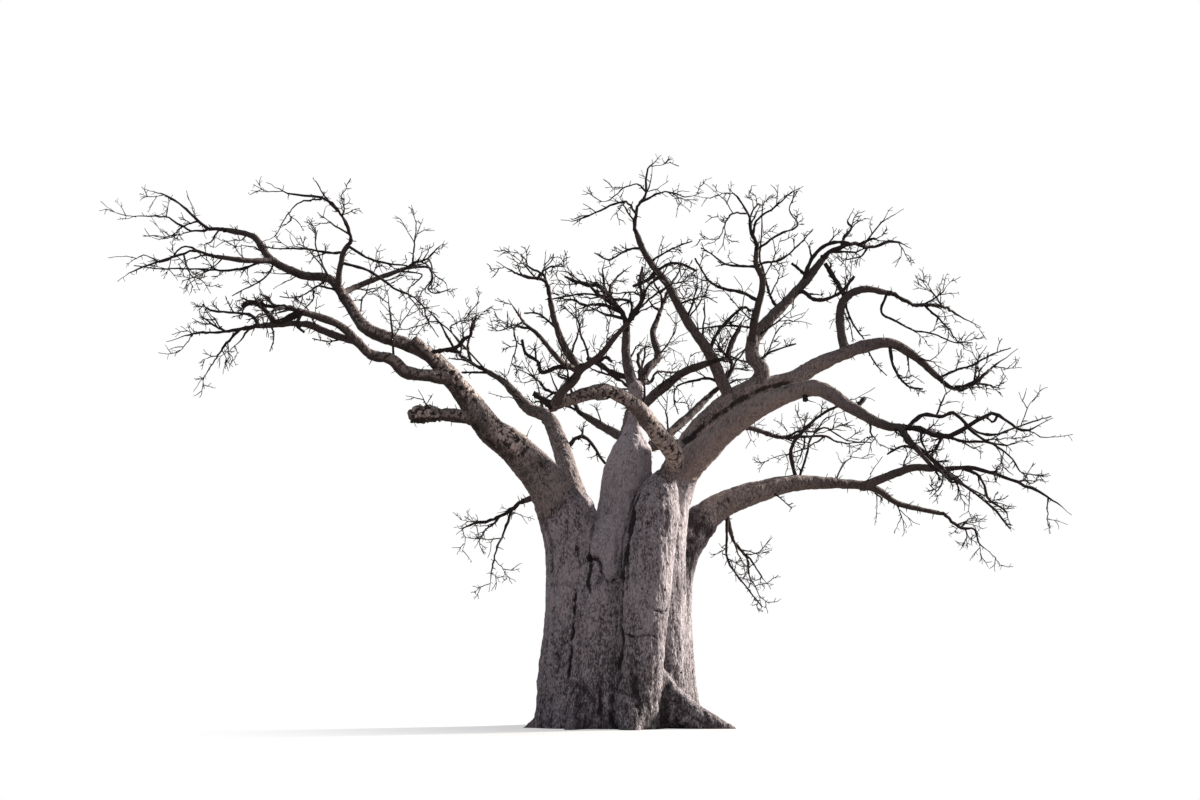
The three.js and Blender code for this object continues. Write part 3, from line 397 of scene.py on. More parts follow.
# Slim side limbs that are too thin for solids of their own
OFFSHOOTS: dict[str, tuple[Offshoot, ...]] = {
    "left_far_fork": (
        Offshoot((0.035, 0.014), -0.7, (
            (-8.68, 11.35), (-8.9, 11.29), (-9.25, 11.15), (-9.67, 11.08), (-10.24, 11.1),
            (-10.88, 11.13), (-11.38, 11.12), (-12.01, 11.2),
        )),
        Offshoot((0.02, 0.013), 0.5, (
            (-9.75, 11.36), (-10.1, 11.12), (-10.45, 10.94), (-10.81, 10.81),
        )),
    ),
    "left_high_bough": (
        Offshoot((0.028, 0.013), -0.4, (
            (-8.54, 11.26), (-8.65, 11.05), (-8.86, 10.83), (-9.25, 10.62), (-9.57, 10.44),
        )),
        Offshoot((0.032, 0.014), -0.5, (
            (-6.93, 10.56), (-7.25, 10.65), (-7.46, 10.69), (-7.58, 10.62), (-7.57, 10.37),
            (-7.78, 10.12),
        )),
        Offshoot((0.026, 0.012), 0.5, (
            (-7.27, 10.73), (-7.58, 10.62), (-7.8, 10.48), (-8.08, 10.39), (-8.4, 10.43),
        )),
        Offshoot((0.024, 0.012), 0.6, (
            (-7.14, 10.9), (-7.39, 11.29), (-7.55, 11.75), (-7.57, 12.11), (-7.74, 12.36),
        )),
    ),
    "left_top_fork": (
        Offshoot((0.036, 0.014), 0.7, (
            (-6.71, 11.43), (-7.14, 11.52), (-7.57, 11.59), (-7.99, 11.63), (-8.52, 11.63),
            (-8.95, 11.72),
        )),
        Offshoot((0.036, 0.018), -0.5, (
            (-6.57, 11.54), (-6.18, 11.36), (-5.79, 11.26), (-5.3, 11.19), (-5.15, 11.15),
        )),
        Offshoot((0.042, 0.013), 0.8, (
            (-6.71, 11.26), (-6.25, 11.08), (-5.86, 10.83), (-5.58, 10.62), (-5.23, 10.48),
            (-4.98, 10.3), (-4.84, 10.12), (-4.8, 9.91), (-4.48, 9.41),
        )),
    ),
    "left_inner_fork": (
        Offshoot((0.034, 0.013), 0.5, (
            (-5.33, 11.04), (-4.76, 11.15), (-4.66, 10.97), (-4.66, 10.8), (-4.76, 10.62),
            (-4.59, 10.51), (-4.2, 10.62),
        )),
        Offshoot((0.024, 0.012), -0.4, (
            (-5.51, 10.95), (-4.91, 10.97), (-5.08, 10.76), (-5.23, 10.62), (-5.23, 10.44),
            (-5.08, 10.26), (-4.84, 9.91),
        )),
    ),
    "left_great_bough": (
        Offshoot((0.06, 0.03), -0.3, (
            (-4.66, 9.09), (-4.37, 9.09), (-4.06, 9.15), (-3.84, 9.38), (-3.7, 9.45), (-3.67, 9.7),
            (-3.56, 9.91),
        )),
    ),
    "left_rear_bough": (
        Offshoot((0.03, 0.022), 0.3, ((-3.6, 8.85), (-3.88, 8.85), (-4.16, 8.88))),
        Offshoot((0.04, 0.026), -0.2, ((-3.28, 8.49), (-3.67, 8.54), (-3.91, 8.54))),
        Offshoot((0.026, 0.012), 0.5, (
            (-4.23, 9.55), (-4.45, 9.77), (-4.66, 9.8), (-4.94, 9.7), (-5.3, 9.61), (-5.62, 9.59),
        )),
        Offshoot((0.026, 0.012), -0.4, (
            (-4.02, 9.38), (-4.2, 9.66), (-3.88, 9.84), (-3.67, 10.09), (-3.49, 10.3),
        )),
        Offshoot((0.07, 0.035), 0.5, ((-1.43, 6.65), (-0.95, 6.98), (-0.4, 6.3))),
    ),
    "left_low_bough": (
        Offshoot((0.085, 0.05), 0.4, (
            (-8.19, 9.88), (-8.47, 9.79), (-8.65, 9.96), (-8.88, 10.2), (-9.07, 10.27),
            (-9.32, 10.18),
        )),
        Offshoot((0.05, 0.035), -0.2, ((-8.03, 9.88), (-7.96, 9.7), (-7.78, 9.54))),
        Offshoot((0.024, 0.014), 0.6, ((-6.71, 9.41), (-6.86, 9.36), (-7.21, 9.31), (-7.57, 9.38))),
    ),
    "left_low_fork": (
        Offshoot((0.045, 0.02), 0.6, (
            (-8.9, 9.73), (-9.07, 9.95), (-9.53, 10.02), (-10.1, 10.09), (-10.28, 10.23),
        )),
        Offshoot((0.024, 0.014), -0.2, (
            (-8.54, 9.63), (-8.52, 9.49), (-8.54, 9.27), (-8.61, 9.06),
        )),
    ),
    "right_winding_bough": (
        Offshoot((0.055, 0.04), -0.3, (
            (4.4, 10.79), (4.69, 11.37), (5.06, 11.73), (5.52, 11.79), (5.69, 11.71),
        )),
        Offshoot((0.062, 0.034), -0.7, (
            (4.27, 10.58), (4.48, 10.54), (4.73, 10.35), (5.1, 10.38), (5.44, 10.58), (5.73, 10.94),
        )),
        Offshoot((0.04, 0.013), 0.5, (
            (3.77, 10.13), (3.73, 10.29), (3.61, 10.58), (3.48, 11.12), (3.4, 11.37), (3.44, 11.79),
            (3.5, 12.83),
        )),
        Offshoot((0.034, 0.02), -0.5, ((3.23, 8.88), (3.4, 8.88), (3.65, 9.04), (4.27, 9.25))),
        Offshoot((0.024, 0.012), 0.5, ((3.4, 8.92), (3.57, 9.04), (3.77, 9.5), (4.06, 9.84))),
        Offshoot((0.045, 0.036), -0.1, ((4.44, 10.96), (4.4, 11.08), (4.19, 11.26))),
    ),
    "right_outer_fork": (
        Offshoot((0.075, 0.055), 0.2, ((5.4, 10.58), (5.19, 10.96), (5.02, 11.25))),
        Offshoot((0.038, 0.012), 0.7, (
            (6.46, 10.5), (6.37, 10.04), (6.77, 9.79), (7.14, 9.59), (7.64, 9.5), (8.14, 9.29),
            (8.6, 9.27),
        )),
        Offshoot((0.032, 0.018), -0.5, ((5.48, 10.38), (5.52, 10.17), (5.69, 9.71), (5.94, 9.36))),
        Offshoot((0.022, 0.013), 0.4, ((5.4, 10.29), (5.48, 10), (5.6, 9.71), (5.67, 9.29))),
    ),
    "right_great_bough": (
        Offshoot((0.046, 0.024), -0.3, (
            (6.52, 9.21), (6.64, 8.71), (6.81, 8.38), (7.02, 8.19), (7.35, 8.13),
        )),
        Offshoot((0.022, 0.013), 0.4, ((5.94, 9.25), (6.02, 9.11), (6.23, 8.71), (6.48, 8.46))),
        Offshoot((0.036, 0.014), -0.5, (
            (8.18, 8.35), (8.18, 8.6), (8.49, 8.69), (9.04, 8.97), (9.53, 9.15),
        )),
    ),
    "right_upright_fork": (
        Offshoot((0.032, 0.012), 0.6, (
            (3.38, 11.79), (3.9, 12), (4.36, 12.21), (4.15, 12.62), (4.36, 13.08),
        )),
        Offshoot((0.032, 0.014), -0.6, (
            (3.27, 11.12), (3.44, 11.25), (3.9, 11.33), (4.36, 11.71), (4.73, 12.12),
        )),
        Offshoot((0.05, 0.022), -0.5, (
            (3.3, 10.36), (2.95, 10.53), (2.52, 10.62), (2.18, 10.79), (2.05, 10.96), (1.81, 11.39),
        )),
        Offshoot((0.038, 0.014), 0.5, (
            (3.3, 11.09), (3.21, 11.18), (2.61, 11.22), (2.18, 11.52), (1.96, 11.65),
        )),
        Offshoot((0.032, 0.02), 0.3, ((3.19, 9.72), (2.57, 9.71), (1.88, 9.62))),
    ),
    "front_left_fork": (
        Offshoot((0.06, 0.03), -0.4, (
            (-1.27, 8.59), (-1.57, 8.67), (-1.96, 8.54), (-2.05, 8.8), (-2.35, 9.02), (-2.44, 9.36),
        )),
    ),
    "front_right_fork": (
        Offshoot((0.034, 0.014), 0.4, (
            (-0.76, 8.8), (-0.88, 9.19), (-1.01, 9.49), (-1.06, 9.8), (-1.27, 10.03), (-1.4, 10.18),
        )),
    ),
    "front_upright_bough": (
        Offshoot((0.03, 0.018), 0.3, (
            (-1.53, 9.67), (-1.83, 9.84), (-2.09, 10.01), (-2.39, 10.01),
        )),
        Offshoot((0.05, 0.036), -0.2, ((-0.84, 8.72), (-0.58, 8.8), (-0.37, 8.91), (-0.24, 8.8))),
    ),
    "centre_upright_bough": (
        Offshoot((0.045, 0.02), 0.5, (
            (0.13, 9.62), (0.24, 10.27), (-0.19, 10.36), (-0.84, 10.49), (-1.19, 10.46),
            (-1.7, 10.36),
        )),
        Offshoot((0.06, 0.03), 0.2, (
            (0.13, 9.71), (-0.02, 10.1), (-0.41, 10.36), (-0.63, 10.53), (-0.84, 10.74),
            (-1.14, 10.79), (-1.4, 10.93),
        )),
        Offshoot((0.065, 0.03), -0.4, (
            (0.13, 9.62), (0.24, 9.97), (0.45, 10.23), (0.5, 10.49), (0.45, 10.74), (0.52, 11.18),
        )),
        Offshoot((0.085, 0.06), 0.5, ((0.11, 8.33), (-0.24, 8.54), (-0.58, 8.76), (-0.84, 8.89))),
    ),
    "top_bough": (
        Offshoot((0.06, 0.034), 0.3, ((0.84, 11.11), (0.63, 10.83), (0.28, 10.68))),
        Offshoot((0.04, 0.03), -0.3, ((0.88, 11.13), (1.23, 11.26), (1.53, 11.22), (1.83, 11.07))),
        Offshoot((0.03, 0.014), -0.4, ((0.71, 11.31), (1.06, 11.52), (1.4, 11.69), (1.75, 11.82))),
        Offshoot((0.034, 0.014), 0.5, (
            (0.47, 11.59), (0.22, 11.62), (-0.02, 11.5), (-0.32, 11.35), (-0.67, 11.52),
        )),
        Offshoot((0.052, 0.03), 0.4, (
            (2.22, 9.02), (2.26, 9.36), (2.57, 9.8), (3.04, 10.16), (3.17, 10.05),
        )),
        Offshoot((0.022, 0.012), 0.5, ((1.7, 9.88), (1.92, 10.27), (2.18, 10.74))),
        Offshoot((0.03, 0.012), -0.5, ((1.36, 10.23), (1.66, 10.33), (2.05, 10.42), (2.35, 10.27))),
        Offshoot((0.042, 0.013), -0.5, (
            (2.39, 8.2), (2.14, 8.39), (1.83, 8.35), (1.36, 8.2), (1.27, 7.9), (1.38, 7.51),
        )),
    ),
    "front_arch_bough": (
        Offshoot((0.09, 0.07), -0.1, ((-1.7, 7.77), (-1.96, 7.9), (-2.16, 8.03))),
    ),
    "right_low_bough": (
        Offshoot((0.058, 0.03), -0.5, (
            (4.2, 6.1), (4.11, 6.63), (4.48, 7.18), (5.16, 7.67), (5.47, 7.71),
        )),
        Offshoot((0.036, 0.014), 0.6, (
            (4.24, 6.1), (4.48, 6.47), (4.6, 6.94), (4.91, 7.18), (5.47, 6.87), (6.08, 6.81),
        )),
        Offshoot((0.026, 0.014), -0.4, ((3.56, 5.58), (3.87, 5.44), (4.11, 5.21))),
    ),
    "right_front_bough": (
        Offshoot((0.06, 0.05), 0.2, ((5.71, 7.67), (5.93, 7.91))),
        Offshoot((0.085, 0.07), -0.15, ((4.51, 8.04), (4.48, 7.85))),
        Offshoot((0.05, 0.014), 0.7, (
            (6.95, 7.24), (7.32, 7.49), (7.81, 7.46), (8.06, 7.55), (8.55, 7.12), (8.98, 7),
            (9.9, 7.3), (10.46, 7.46),
        )),
        Offshoot((0.05, 0.035), 0.9, ((7.78, 7.4), (7.75, 6.94), (7.5, 6.47))),
        Offshoot((0.075, 0.05), -0.5, (
            (6.82, 7.18), (6.95, 6.87), (7.56, 6.38), (7.87, 6.07), (8.12, 5.89),
        )),
    ),
    "right_front_fork": (
        Offshoot((0.036, 0.02), -0.5, ((8.12, 6.13), (8.79, 5.39), (9.38, 4.72))),
        Offshoot((0.034, 0.02), -0.4, ((7.32, 6.78), (6.82, 6.72), (6.45, 6.53))),
    ),
    "right_hanging_fork": (
        Offshoot((0.038, 0.018), -0.4, (
            (2.57, 5.03), (2.53, 4.59), (2.54, 3.98), (3.06, 3.24), (3.37, 2.84),
        )),
    ),
}


def placed(places: tuple[Place, ...]) -> Array:
    """The points in space of places given as across, up and depth.

    Args:
        places: Rows that start with across, up and depth.

    Returns:
        One row of x, y, z for each place.
    """
    rows = np.array([place[:3] for place in places], float)
    flat = np.column_stack([rows[:, 0], np.zeros(len(rows)), rows[:, 1]])
    return EYE + (flat - EYE) * (1 + rows[:, 2:3] / EYE_DISTANCE)


def seen(points: Array) -> tuple[Array, Array]:
    """How far across and how far up points appear from the front, the opposite of placed."""
    scale = 1 + points[:, 1] / EYE_DISTANCE
    return EYE[0] + (points[:, 0] - EYE[0]) / scale, EYE[2] + (points[:, 2] - EYE[2]) / scale


def smooth_line(points: Array, steps: int) -> Array:
    """Samples a smooth curve through the points, the points among the samples.

    Args:
        points: The points that the curve passes, two or more.
        steps: Samples to each span between two points.

    Returns:
        The samples, one row each.
    """
    padded = np.vstack([2 * points[0] - points[1], points, 2 * points[-1] - points[-2]])
    gaps = np.maximum(np.linalg.norm(np.diff(padded, axis=0), axis=1), 1e-9) ** 0.5
    t = (np.arange(steps) / steps)[:, None]
    spans = []
    for i in range(len(points) - 1):
        before, start, end, after = padded[i : i + 4]
        g0, g1, g2 = gaps[i : i + 3]
        leave = ((start - before) / g0 - (end - before) / (g0 + g1) + (end - start) / g1) * g1
        arrive = ((end - start) / g1 - (after - start) / (g1 + g2) + (after - end) / g2) * g1
        square = 3 * (end - start) - 2 * leave - arrive
        cube = 2 * (start - end) + leave + arrive
        spans.append(start + leave * t + square * t**2 + cube * t**3)
    return np.vstack(spans + [points[-1:]])


def between(values: Sequence[float], steps: int) -> Array:
    """Values at a line's samples, drawn evenly between the values at its places."""
    at = np.arange((len(values) - 1) * steps + 1) / steps
    return np.interp(at, np.arange(len(values)), values)


def shares(line: Array) -> Array:
    """Share of a line's length that lies before each of its points."""
    run = np.concatenate([[0], np.cumsum(np.linalg.norm(np.diff(line, axis=0), axis=1))])
    return run / run[-1]


def length_of(line: Array) -> float:
    """A line's length."""
    return float(np.linalg.norm(np.diff(line, axis=0), axis=1).sum())


def headings(line: Array) -> Array:
    """Direction of a line at each of its points."""
    ends = np.vstack([line[1:], line[-1:]]) - np.vstack([line[:1], line[:-1]])
    return ends / np.linalg.norm(ends, axis=1)[:, None]


def unit(vector: Array) -> Array:
    """A vector at length 1."""
    return vector / np.sqrt(vector @ vector)


def square_to(heading: Array) -> Array:
    """Any unit vector square to a heading."""
    axis = (0.0, 0.0, 1.0) if abs(heading[2]) < 0.8 else (1.0, 0.0, 0.0)
    return unit(np.cross(axis, heading))


def turned(vector: Array, axis: Array, angle: float) -> Array:
    """A vector turned about a unit axis that it is square to."""
    return vector * np.cos(angle) + np.cross(axis, vector) * np.sin(angle)


def frames(line: Array) -> tuple[Array, Array]:
    """Two directions square to a line at each point, carried along it without twist.

    Args:
        line: The points of the line.

    Returns:
        The first and the second direction, one row for each point.
    """
    ahead = headings(line)
    normals = [square_to(ahead[0])]
    for direction in ahead[1:]:
        carried = normals[-1] - direction * (normals[-1] @ direction)
        normals.append(unit(carried))
    first = np.array(normals)
    return first, np.cross(ahead, first)


def tube_arrays(line: Array, radii: Array, sides: int) -> TubeArrays:
    """A closed tube round a line, as points and triangles.

    Args:
        line: The points of its centre line.
        radii: Its radius at each point.
        sides: How many sides its section has.

    Returns:
        The points, and the triangles as rows of three point numbers.
    """
    first, second = frames(line)
    angle = np.arange(sides) * 2 * np.pi / sides
    spokes = first[:, None] * np.cos(angle)[:, None] + second[:, None] * np.sin(angle)[:, None]
    rings = (line[:, None] + spokes * radii[:, None, None]).reshape(-1, 3)
    points = np.vstack([rings, line[:1], line[-1:]])
    count = len(line)
    ring = np.arange(count - 1)[:, None] * sides
    here = np.arange(sides)[None, :]
    after = (here + 1) % sides
    a, b = (ring + here).ravel(), (ring + after).ravel()
    lower, upper = np.column_stack([a, b, b + sides]), np.column_stack([a, b + sides, a + sides])
    foot, top = count * sides, count * sides + 1
    low = np.column_stack([after[0], here[0], np.full(sides, foot)])
    last = (count - 1) * sides
    high = np.column_stack([last + here[0], last + after[0], np.full(sides, top)])
    return points, np.vstack([lower, upper, low, high])


def mesh_of(
    name: str, points: Array, corners: Array, sizes: Array
) -> bpy.types.Mesh:
    """A mesh from arrays.

    Args:
        name: Its name.
        points: Rows of x, y, z.
        corners: Point numbers of all faces, one face after another.
        sizes: How many corners each face has.

    Returns:
        The new mesh, shaded smooth.
    """
    mesh = bpy.data.meshes.new(name)
    mesh.vertices.add(len(points))
    mesh.vertices.foreach_set("co", points.astype(np.float32).ravel())
    mesh.loops.add(len(corners))
    mesh.loops.foreach_set("vertex_index", corners.astype(np.int32))
    mesh.polygons.add(len(sizes))
    starts = np.concatenate([[0], np.cumsum(sizes)[:-1]]).astype(np.int32)
    mesh.polygons.foreach_set("loop_start", starts)
    mesh.polygons.foreach_set("use_smooth", np.ones(len(sizes), bool))
    mesh.update(calc_edges=True)
    return mesh


def joined(tubes: list[TubeArrays]) -> TubeArrays:
    """Joins several tubes.

    Args:
        tubes: Points and triangles of each tube.

    Returns:
        The points and triangles of all.
    """
    starts = np.cumsum([0] + [len(points) for points, _ in tubes])
    faces = [triangles + start for (_, triangles), start in zip(tubes, starts)]
    return np.vstack([points for points, _ in tubes]), np.vstack(faces)


def ramp(values: Array, low: float, high: float) -> Array:
    """A smooth step from 0 at low to 1 at high; low may be the larger one."""
    t = np.clip((values - low) / (high - low), 0, 1)
    return t * t * (3 - 2 * t)


def hashed(cells: Array, seed: int) -> Array:
    """A settled random value for each whole-numbered cell.

    Args:
        cells: Three whole numbers for each cell.
        seed: Which values they are.

    Returns:
        A value from 0 to 1 for each cell.
    """
    mixed = cells[..., 0] * 374761393 + cells[..., 1] * 668265263 + cells[..., 2] * 1440662683
    mixed = (mixed + seed * 2246822519) & 0xFFFFFFFF
    mixed = ((mixed ^ (mixed >> 13)) * 1274126177) & 0xFFFFFFFF
    return ((mixed ^ (mixed >> 16)) & 0xFFFFFF) / 0xFFFFFF


def noise(points: Array, seed: int) -> Array:
    """Smooth noise from -1 to 1 with one bump to each unit of length.

    Args:
        points: Rows of three coordinates, already divided by the bumps' size.
        seed: Which noise it is.

    Returns:
        One value for each row.
    """
    base = np.floor(points).astype(np.int64)
    part = points - base
    part = part * part * (3 - 2 * part)
    total = np.zeros(len(points))
    for corner in np.ndindex(2, 2, 2):
        weight = np.prod(np.where(corner, part, 1 - part), axis=1)
        total += weight * hashed(base + corner, seed)
    return total * 2 - 1


def rough(points: Array, seed: int) -> Array:
    """Noise with finer noise laid over it, from about -1 to 1."""
    return (noise(points, seed) + noise(points * 2.03, seed + 1) * 0.5) / 1.4


def dots(points: Array, seed: int, share: float) -> Array:
    """Distance to the nearest of scattered points, one in some of the unit cells.

    Args:
        points: Rows of three coordinates, already divided by the cells' size.
        seed: Which scatter it is.
        share: The share of cells that hold a point.

    Returns:
        The distance for each row, in cells, at most 1.
    """
    base = np.floor(points - 0.5).astype(np.int64)
    nearest = np.ones(len(points))
    for corner in np.ndindex(2, 2, 2):
        cell = base + corner
        spot = cell + 0.25 + 0.5 * np.column_stack([hashed(cell, seed + axis) for axis in range(3)])
        away = np.linalg.norm(points - spot, axis=1)
        away[hashed(cell, seed + 3) > share] = 1
        nearest = np.minimum(nearest, away)
    return nearest


def edges_of_cells(points: Array, seed: int) -> Array:
    """How far points lie from the borders of irregular cells.

    Args:
        points: Rows of three coordinates, already divided by the cells' size.
        seed: Which cells they are.

    Returns:
        0 on a border, more inside a cell.
    """
    base = np.floor(points - 0.5).astype(np.int64)
    nearest = np.full((2, len(points)), 9.0)
    for corner in np.ndindex(2, 2, 2):
        cell = base + corner
        spot = cell + 0.15 + 0.7 * np.column_stack([hashed(cell, seed + axis) for axis in range(3)])
        away = np.linalg.norm(points - spot, axis=1)
        nearest = np.sort(np.vstack([nearest, away]), axis=0)[:2]
    return nearest[1] - nearest[0]


def islands(count: int, edges: Array) -> Array:
    """Which connected part each point belongs to.

    Args:
        count: How many points there are.
        edges: Rows of two point numbers.

    Returns:
        The lowest point number of its part, for each point.
    """
    label = np.arange(count)
    while True:
        low = np.minimum(label[edges[:, 0]], label[edges[:, 1]])
        before = label.copy()
        np.minimum.at(label, edges[:, 0], low)
        np.minimum.at(label, edges[:, 1], low)
        label = label[label]
        if (label == before).all():
            return label


class Draws:
    """Park and Miller's generator, started afresh for each twig so that none disturbs another."""

    def __init__(self, seed: int) -> None:
        """Starts the draws.

        Args:
            seed: The number that settles them.
        """
        self.state = seed % DRAW_SPAN
        self()
        self()

    def __call__(self) -> float:
        """The next draw, from 0 to 1."""
        self.state = self.state * DRAW_FACTOR % DRAW_SPAN
        return self.state / DRAW_SPAN


@dataclass
class Twig:
    """A limb or twig as the solids have it: its centre line, radii, code and length."""

    line: Array
    radii: Array
    code: int = 0
    length: float = 0.0
    level: int = 0


def limb_form(limb: Limb, fineness: int = 1) -> Twig:
    """A limb's centre line and radii.

    Args:
        limb: The limb.
        fineness: How many times as many steps as its solid has.

    Returns:
        The limb as a line with radii.
    """
    root = limb.radii[0] if limb.radii else limb.radius[0]
    steps = (LIMB_STEPS if root > MIDDLE_RADIUS else SLIM_STEPS) * fineness
    line = smooth_line(placed(limb.path), steps)
    if limb.radii:
        return Twig(line, between(limb.radii, steps))
    tip = limb.radius[1]
    return Twig(line, tip + (root - tip) * (1 - shares(line)) ** limb.taper)


def crooked_line(
    start: Array, heading: Array, end: Array, steps: int, crook: float, draw: Draws
) -> Array:
    """A crooked line from a start, along a heading at first, to an end.

    Args:
        start: Its first point.
        heading: The unit direction it sets out in.
        end: Its last point.
        steps: How many stretches it has.
        crook: How far its points are thrown off, for the length of a stretch.
        draw: The random draws.

    Returns:
        Its points.
    """
    chord = end - start
    length = np.sqrt(chord @ chord)
    points = []
    for i in range(steps + 1):
        t = i / steps
        point = start * (2 * t**3 - 3 * t**2 + 1) + heading * ((t**3 - 2 * t**2 + t) * length)
        point = point + end * (3 * t**2 - 2 * t**3) + chord * (t**3 - t**2)
        shift = np.array([draw() - 0.5, draw() - 0.5, draw() - 0.5])
        inner = 0 < i < steps
        points.append(point + shift * (2 * crook * length / steps) if inner else point)
    return np.array(points)


def spot_on(twig: Twig, share: float) -> tuple[Array, Array, float]:
    """A place on a twig.

    Args:
        twig: The twig.
        share: How far along it, from 0 to 1.

    Returns:
        The point, the heading and the radius there.
    """
    at = share * (len(twig.line) - 1)
    i = min(int(at), len(twig.line) - 2)
    stretch = twig.line[i + 1] - twig.line[i]
    radius = twig.radii[i] + (twig.radii[i + 1] - twig.radii[i]) * (at - i)
    return twig.line[i] + stretch * (at - i), unit(stretch), radius


def twig_radii(root: float, steps: int) -> Array:
    """Radii of a twig.

    Args:
        root: Its radius at the root.
        steps: How many stretches it has.

    Returns:
        One radius for each of its points, the last one 0.
    """
    radii = np.maximum(root * (1 - TWIG_TAPER * np.arange(steps + 1) / steps), LEAST_RADIUS)
    radii[-1] = 0
    return radii


def stretch_gaps(a: Array, b: Array, c: Array, d: Array) -> Array:
    """Distances between two sets of straight stretches.

    Args:
        a: Where each stretch of the first set starts.
        b: Where it ends.
        c: Where each stretch of the second set starts.
        d: Where it ends.

    Returns:
        A row for each stretch of the first set, with its distance to each of the second.
    """
    u, v = (b - a)[:, None], (d - c)[None]
    w = a[:, None] - c[None]
    uu, uv, vv = (u * u).sum(-1), (u * v).sum(-1), (v * v).sum(-1)
    uw, vw = (u * w).sum(-1), (v * w).sum(-1)
    area = uu * vv - uv * uv
    skew = area > 1e-6 * uu * vv
    s = np.where(skew, np.clip((uv * vw - vv * uw) / np.where(skew, area, 1), 0, 1), 0)
    t = np.clip((uv * s + vw) / vv, 0, 1)
    s = np.clip((uv * t - uw) / uu, 0, 1)
    return np.linalg.norm(w + u * s[..., None] - v * t[..., None], axis=-1)


class Obstacles:
    """The stretches of limbs and twigs that a new twig has to keep clear of."""

    def __init__(self) -> None:
        """Starts with no stretches."""
        self.starts = np.zeros((0, 3))
        self.ends = np.zeros((0, 3))
        self.radii = np.zeros(0)

    def add(self, form: Twig) -> None:
        """Adds every stretch of a limb or twig.

        Args:
            form: The limb or twig.
        """
        self.starts = np.vstack([self.starts, form.line[:-1]])
        self.ends = np.vstack([self.ends, form.line[1:]])
        self.radii = np.concatenate([self.radii, form.radii[:-1]])

    def clear_of(self, twig: Twig, room: float = TWIG_CLEAR) -> bool:
        """Whether a twig keeps clear of every stretch.

        Args:
            twig: The twig.
            room: The least distance between skin and skin.

        Returns:
            True if nothing is nearer than that.
        """
        reach = twig.radii[0] + room
        low, high = twig.line.min(axis=0) - reach, twig.line.max(axis=0) + reach
        girth = self.radii[:, None]
        under = (np.minimum(self.starts, self.ends) - girth < high).all(axis=1)
        over = (np.maximum(self.starts, self.ends) + girth > low).all(axis=1)
        near = np.flatnonzero(under & over)
        if not near.size:
            return True
        gaps = stretch_gaps(twig.line[:-1], twig.line[1:], self.starts[near], self.ends[near])
        return bool((gaps >= twig.radii[:-1, None] + self.radii[near] + room).all())


def leaders_of(number: int, limb: Limb, form: Twig) -> list[Twig]:
    """A mass's leaders: the first grows on from the bough's tip, and the rest fork from it.

    Args:
        number: The limb's number in the list.
        limb: The limb that the mass grows on from.
        form: The limb's centre line and radii.

    Returns:
        One leader for each place that the mass reaches to.
    """
    heading = headings(form.line)[-1]
    tip = form.radii[-1]
    root = form.line[-1] + heading * GAP
    neck = form.line[-1] + heading * (2 * tip)
    leaders: list[Twig] = []
    for i, reach in enumerate(placed(limb.reaches)):
        draw = Draws((number + 1) * MASS_SEED + i * LEADER_SEED)
        if i == 0:
            line = crooked_line(neck, heading, reach, LEADER_STEPS, LEADER_CROOK, draw)
            leader = Twig(np.vstack([root, line]), twig_radii(tip * STEM_FIT, LEADER_STEPS + 1))
        else:
            share = (FIRST_FORK + FORK_STEP * i) / (LEADER_STEPS + 1)
            point, ahead, radius = spot_on(leaders[0], share)
            towards = unit(unit(reach - point) + ahead)
            line = crooked_line(point, towards, reach, LEADER_STEPS, LEADER_CROOK, draw)
            leader = Twig(line, twig_radii(radius * FORK_RADIUS, LEADER_STEPS))
        leader.code = i + 1
        leader.length = float(np.linalg.norm(leader.line[0] - reach))
        leaders.append(leader)
    return leaders


def side_twig(number: int, parent: Twig, k: int) -> Twig:
    """One side twig of a twig: its place, turn, length and crook come from its own seed.

    Args:
        number: The limb's number in the list.
        parent: The twig that it leaves.
        k: Which of the parent's side twigs it is.

    Returns:
        The new twig.
    """
    code = parent.code * CODES_PER_TWIG + k + 1
    draw = Draws((number + 1) * MASS_SEED + code * TWIG_SEED)
    step = (SIDE_FIRST + k * GOLDEN_STEP + SIDE_DRIFT * draw()) % 1
    share = SIDE_FROM + SIDE_SPAN * step
    point, ahead, radius = spot_on(parent, share)
    across = turned(square_to(ahead), ahead, parent.code * PARENT_TURN + k * GOLDEN_TURN + draw())
    lean = LEAN + LEAN_DRIFT * draw()
    direction = unit(ahead + across * lean)
    longest = parent.length * (LENGTH_AT_ROOT - LENGTH_LOST * share)
    length = longest * (LENGTH_LEAST + LENGTH_DRIFT * draw()) * (FINE_LENGTH if parent.level else 1)
    end = point + direction * length
    end[2] += (FINE_LIFT if parent.level else TWIG_LIFT) * length
    line = crooked_line(point, direction, end, SIDE_STEPS, TWIG_CROOK, draw)
    root = max(radius * SIDE_RADIUS, LEAST_ROOT)
    return Twig(line, twig_radii(root, SIDE_STEPS), code, length, parent.level + 1)


def twig_piece(
    name: str, tubes: list[TubeArrays], finish: bpy.types.Material, nodes: list[str]
) -> None:
    """Joins tubes into one piece.

    Args:
        name: The piece's name.
        tubes: Points and triangles of each tube.
        finish: Its material.
        nodes: The nodes that it replaces.
    """
    points, faces = joined(tubes)
    mesh = mesh_of(name, points, faces.ravel(), np.full(len(faces), 3))
    dress(name, mesh, finish, nodes)


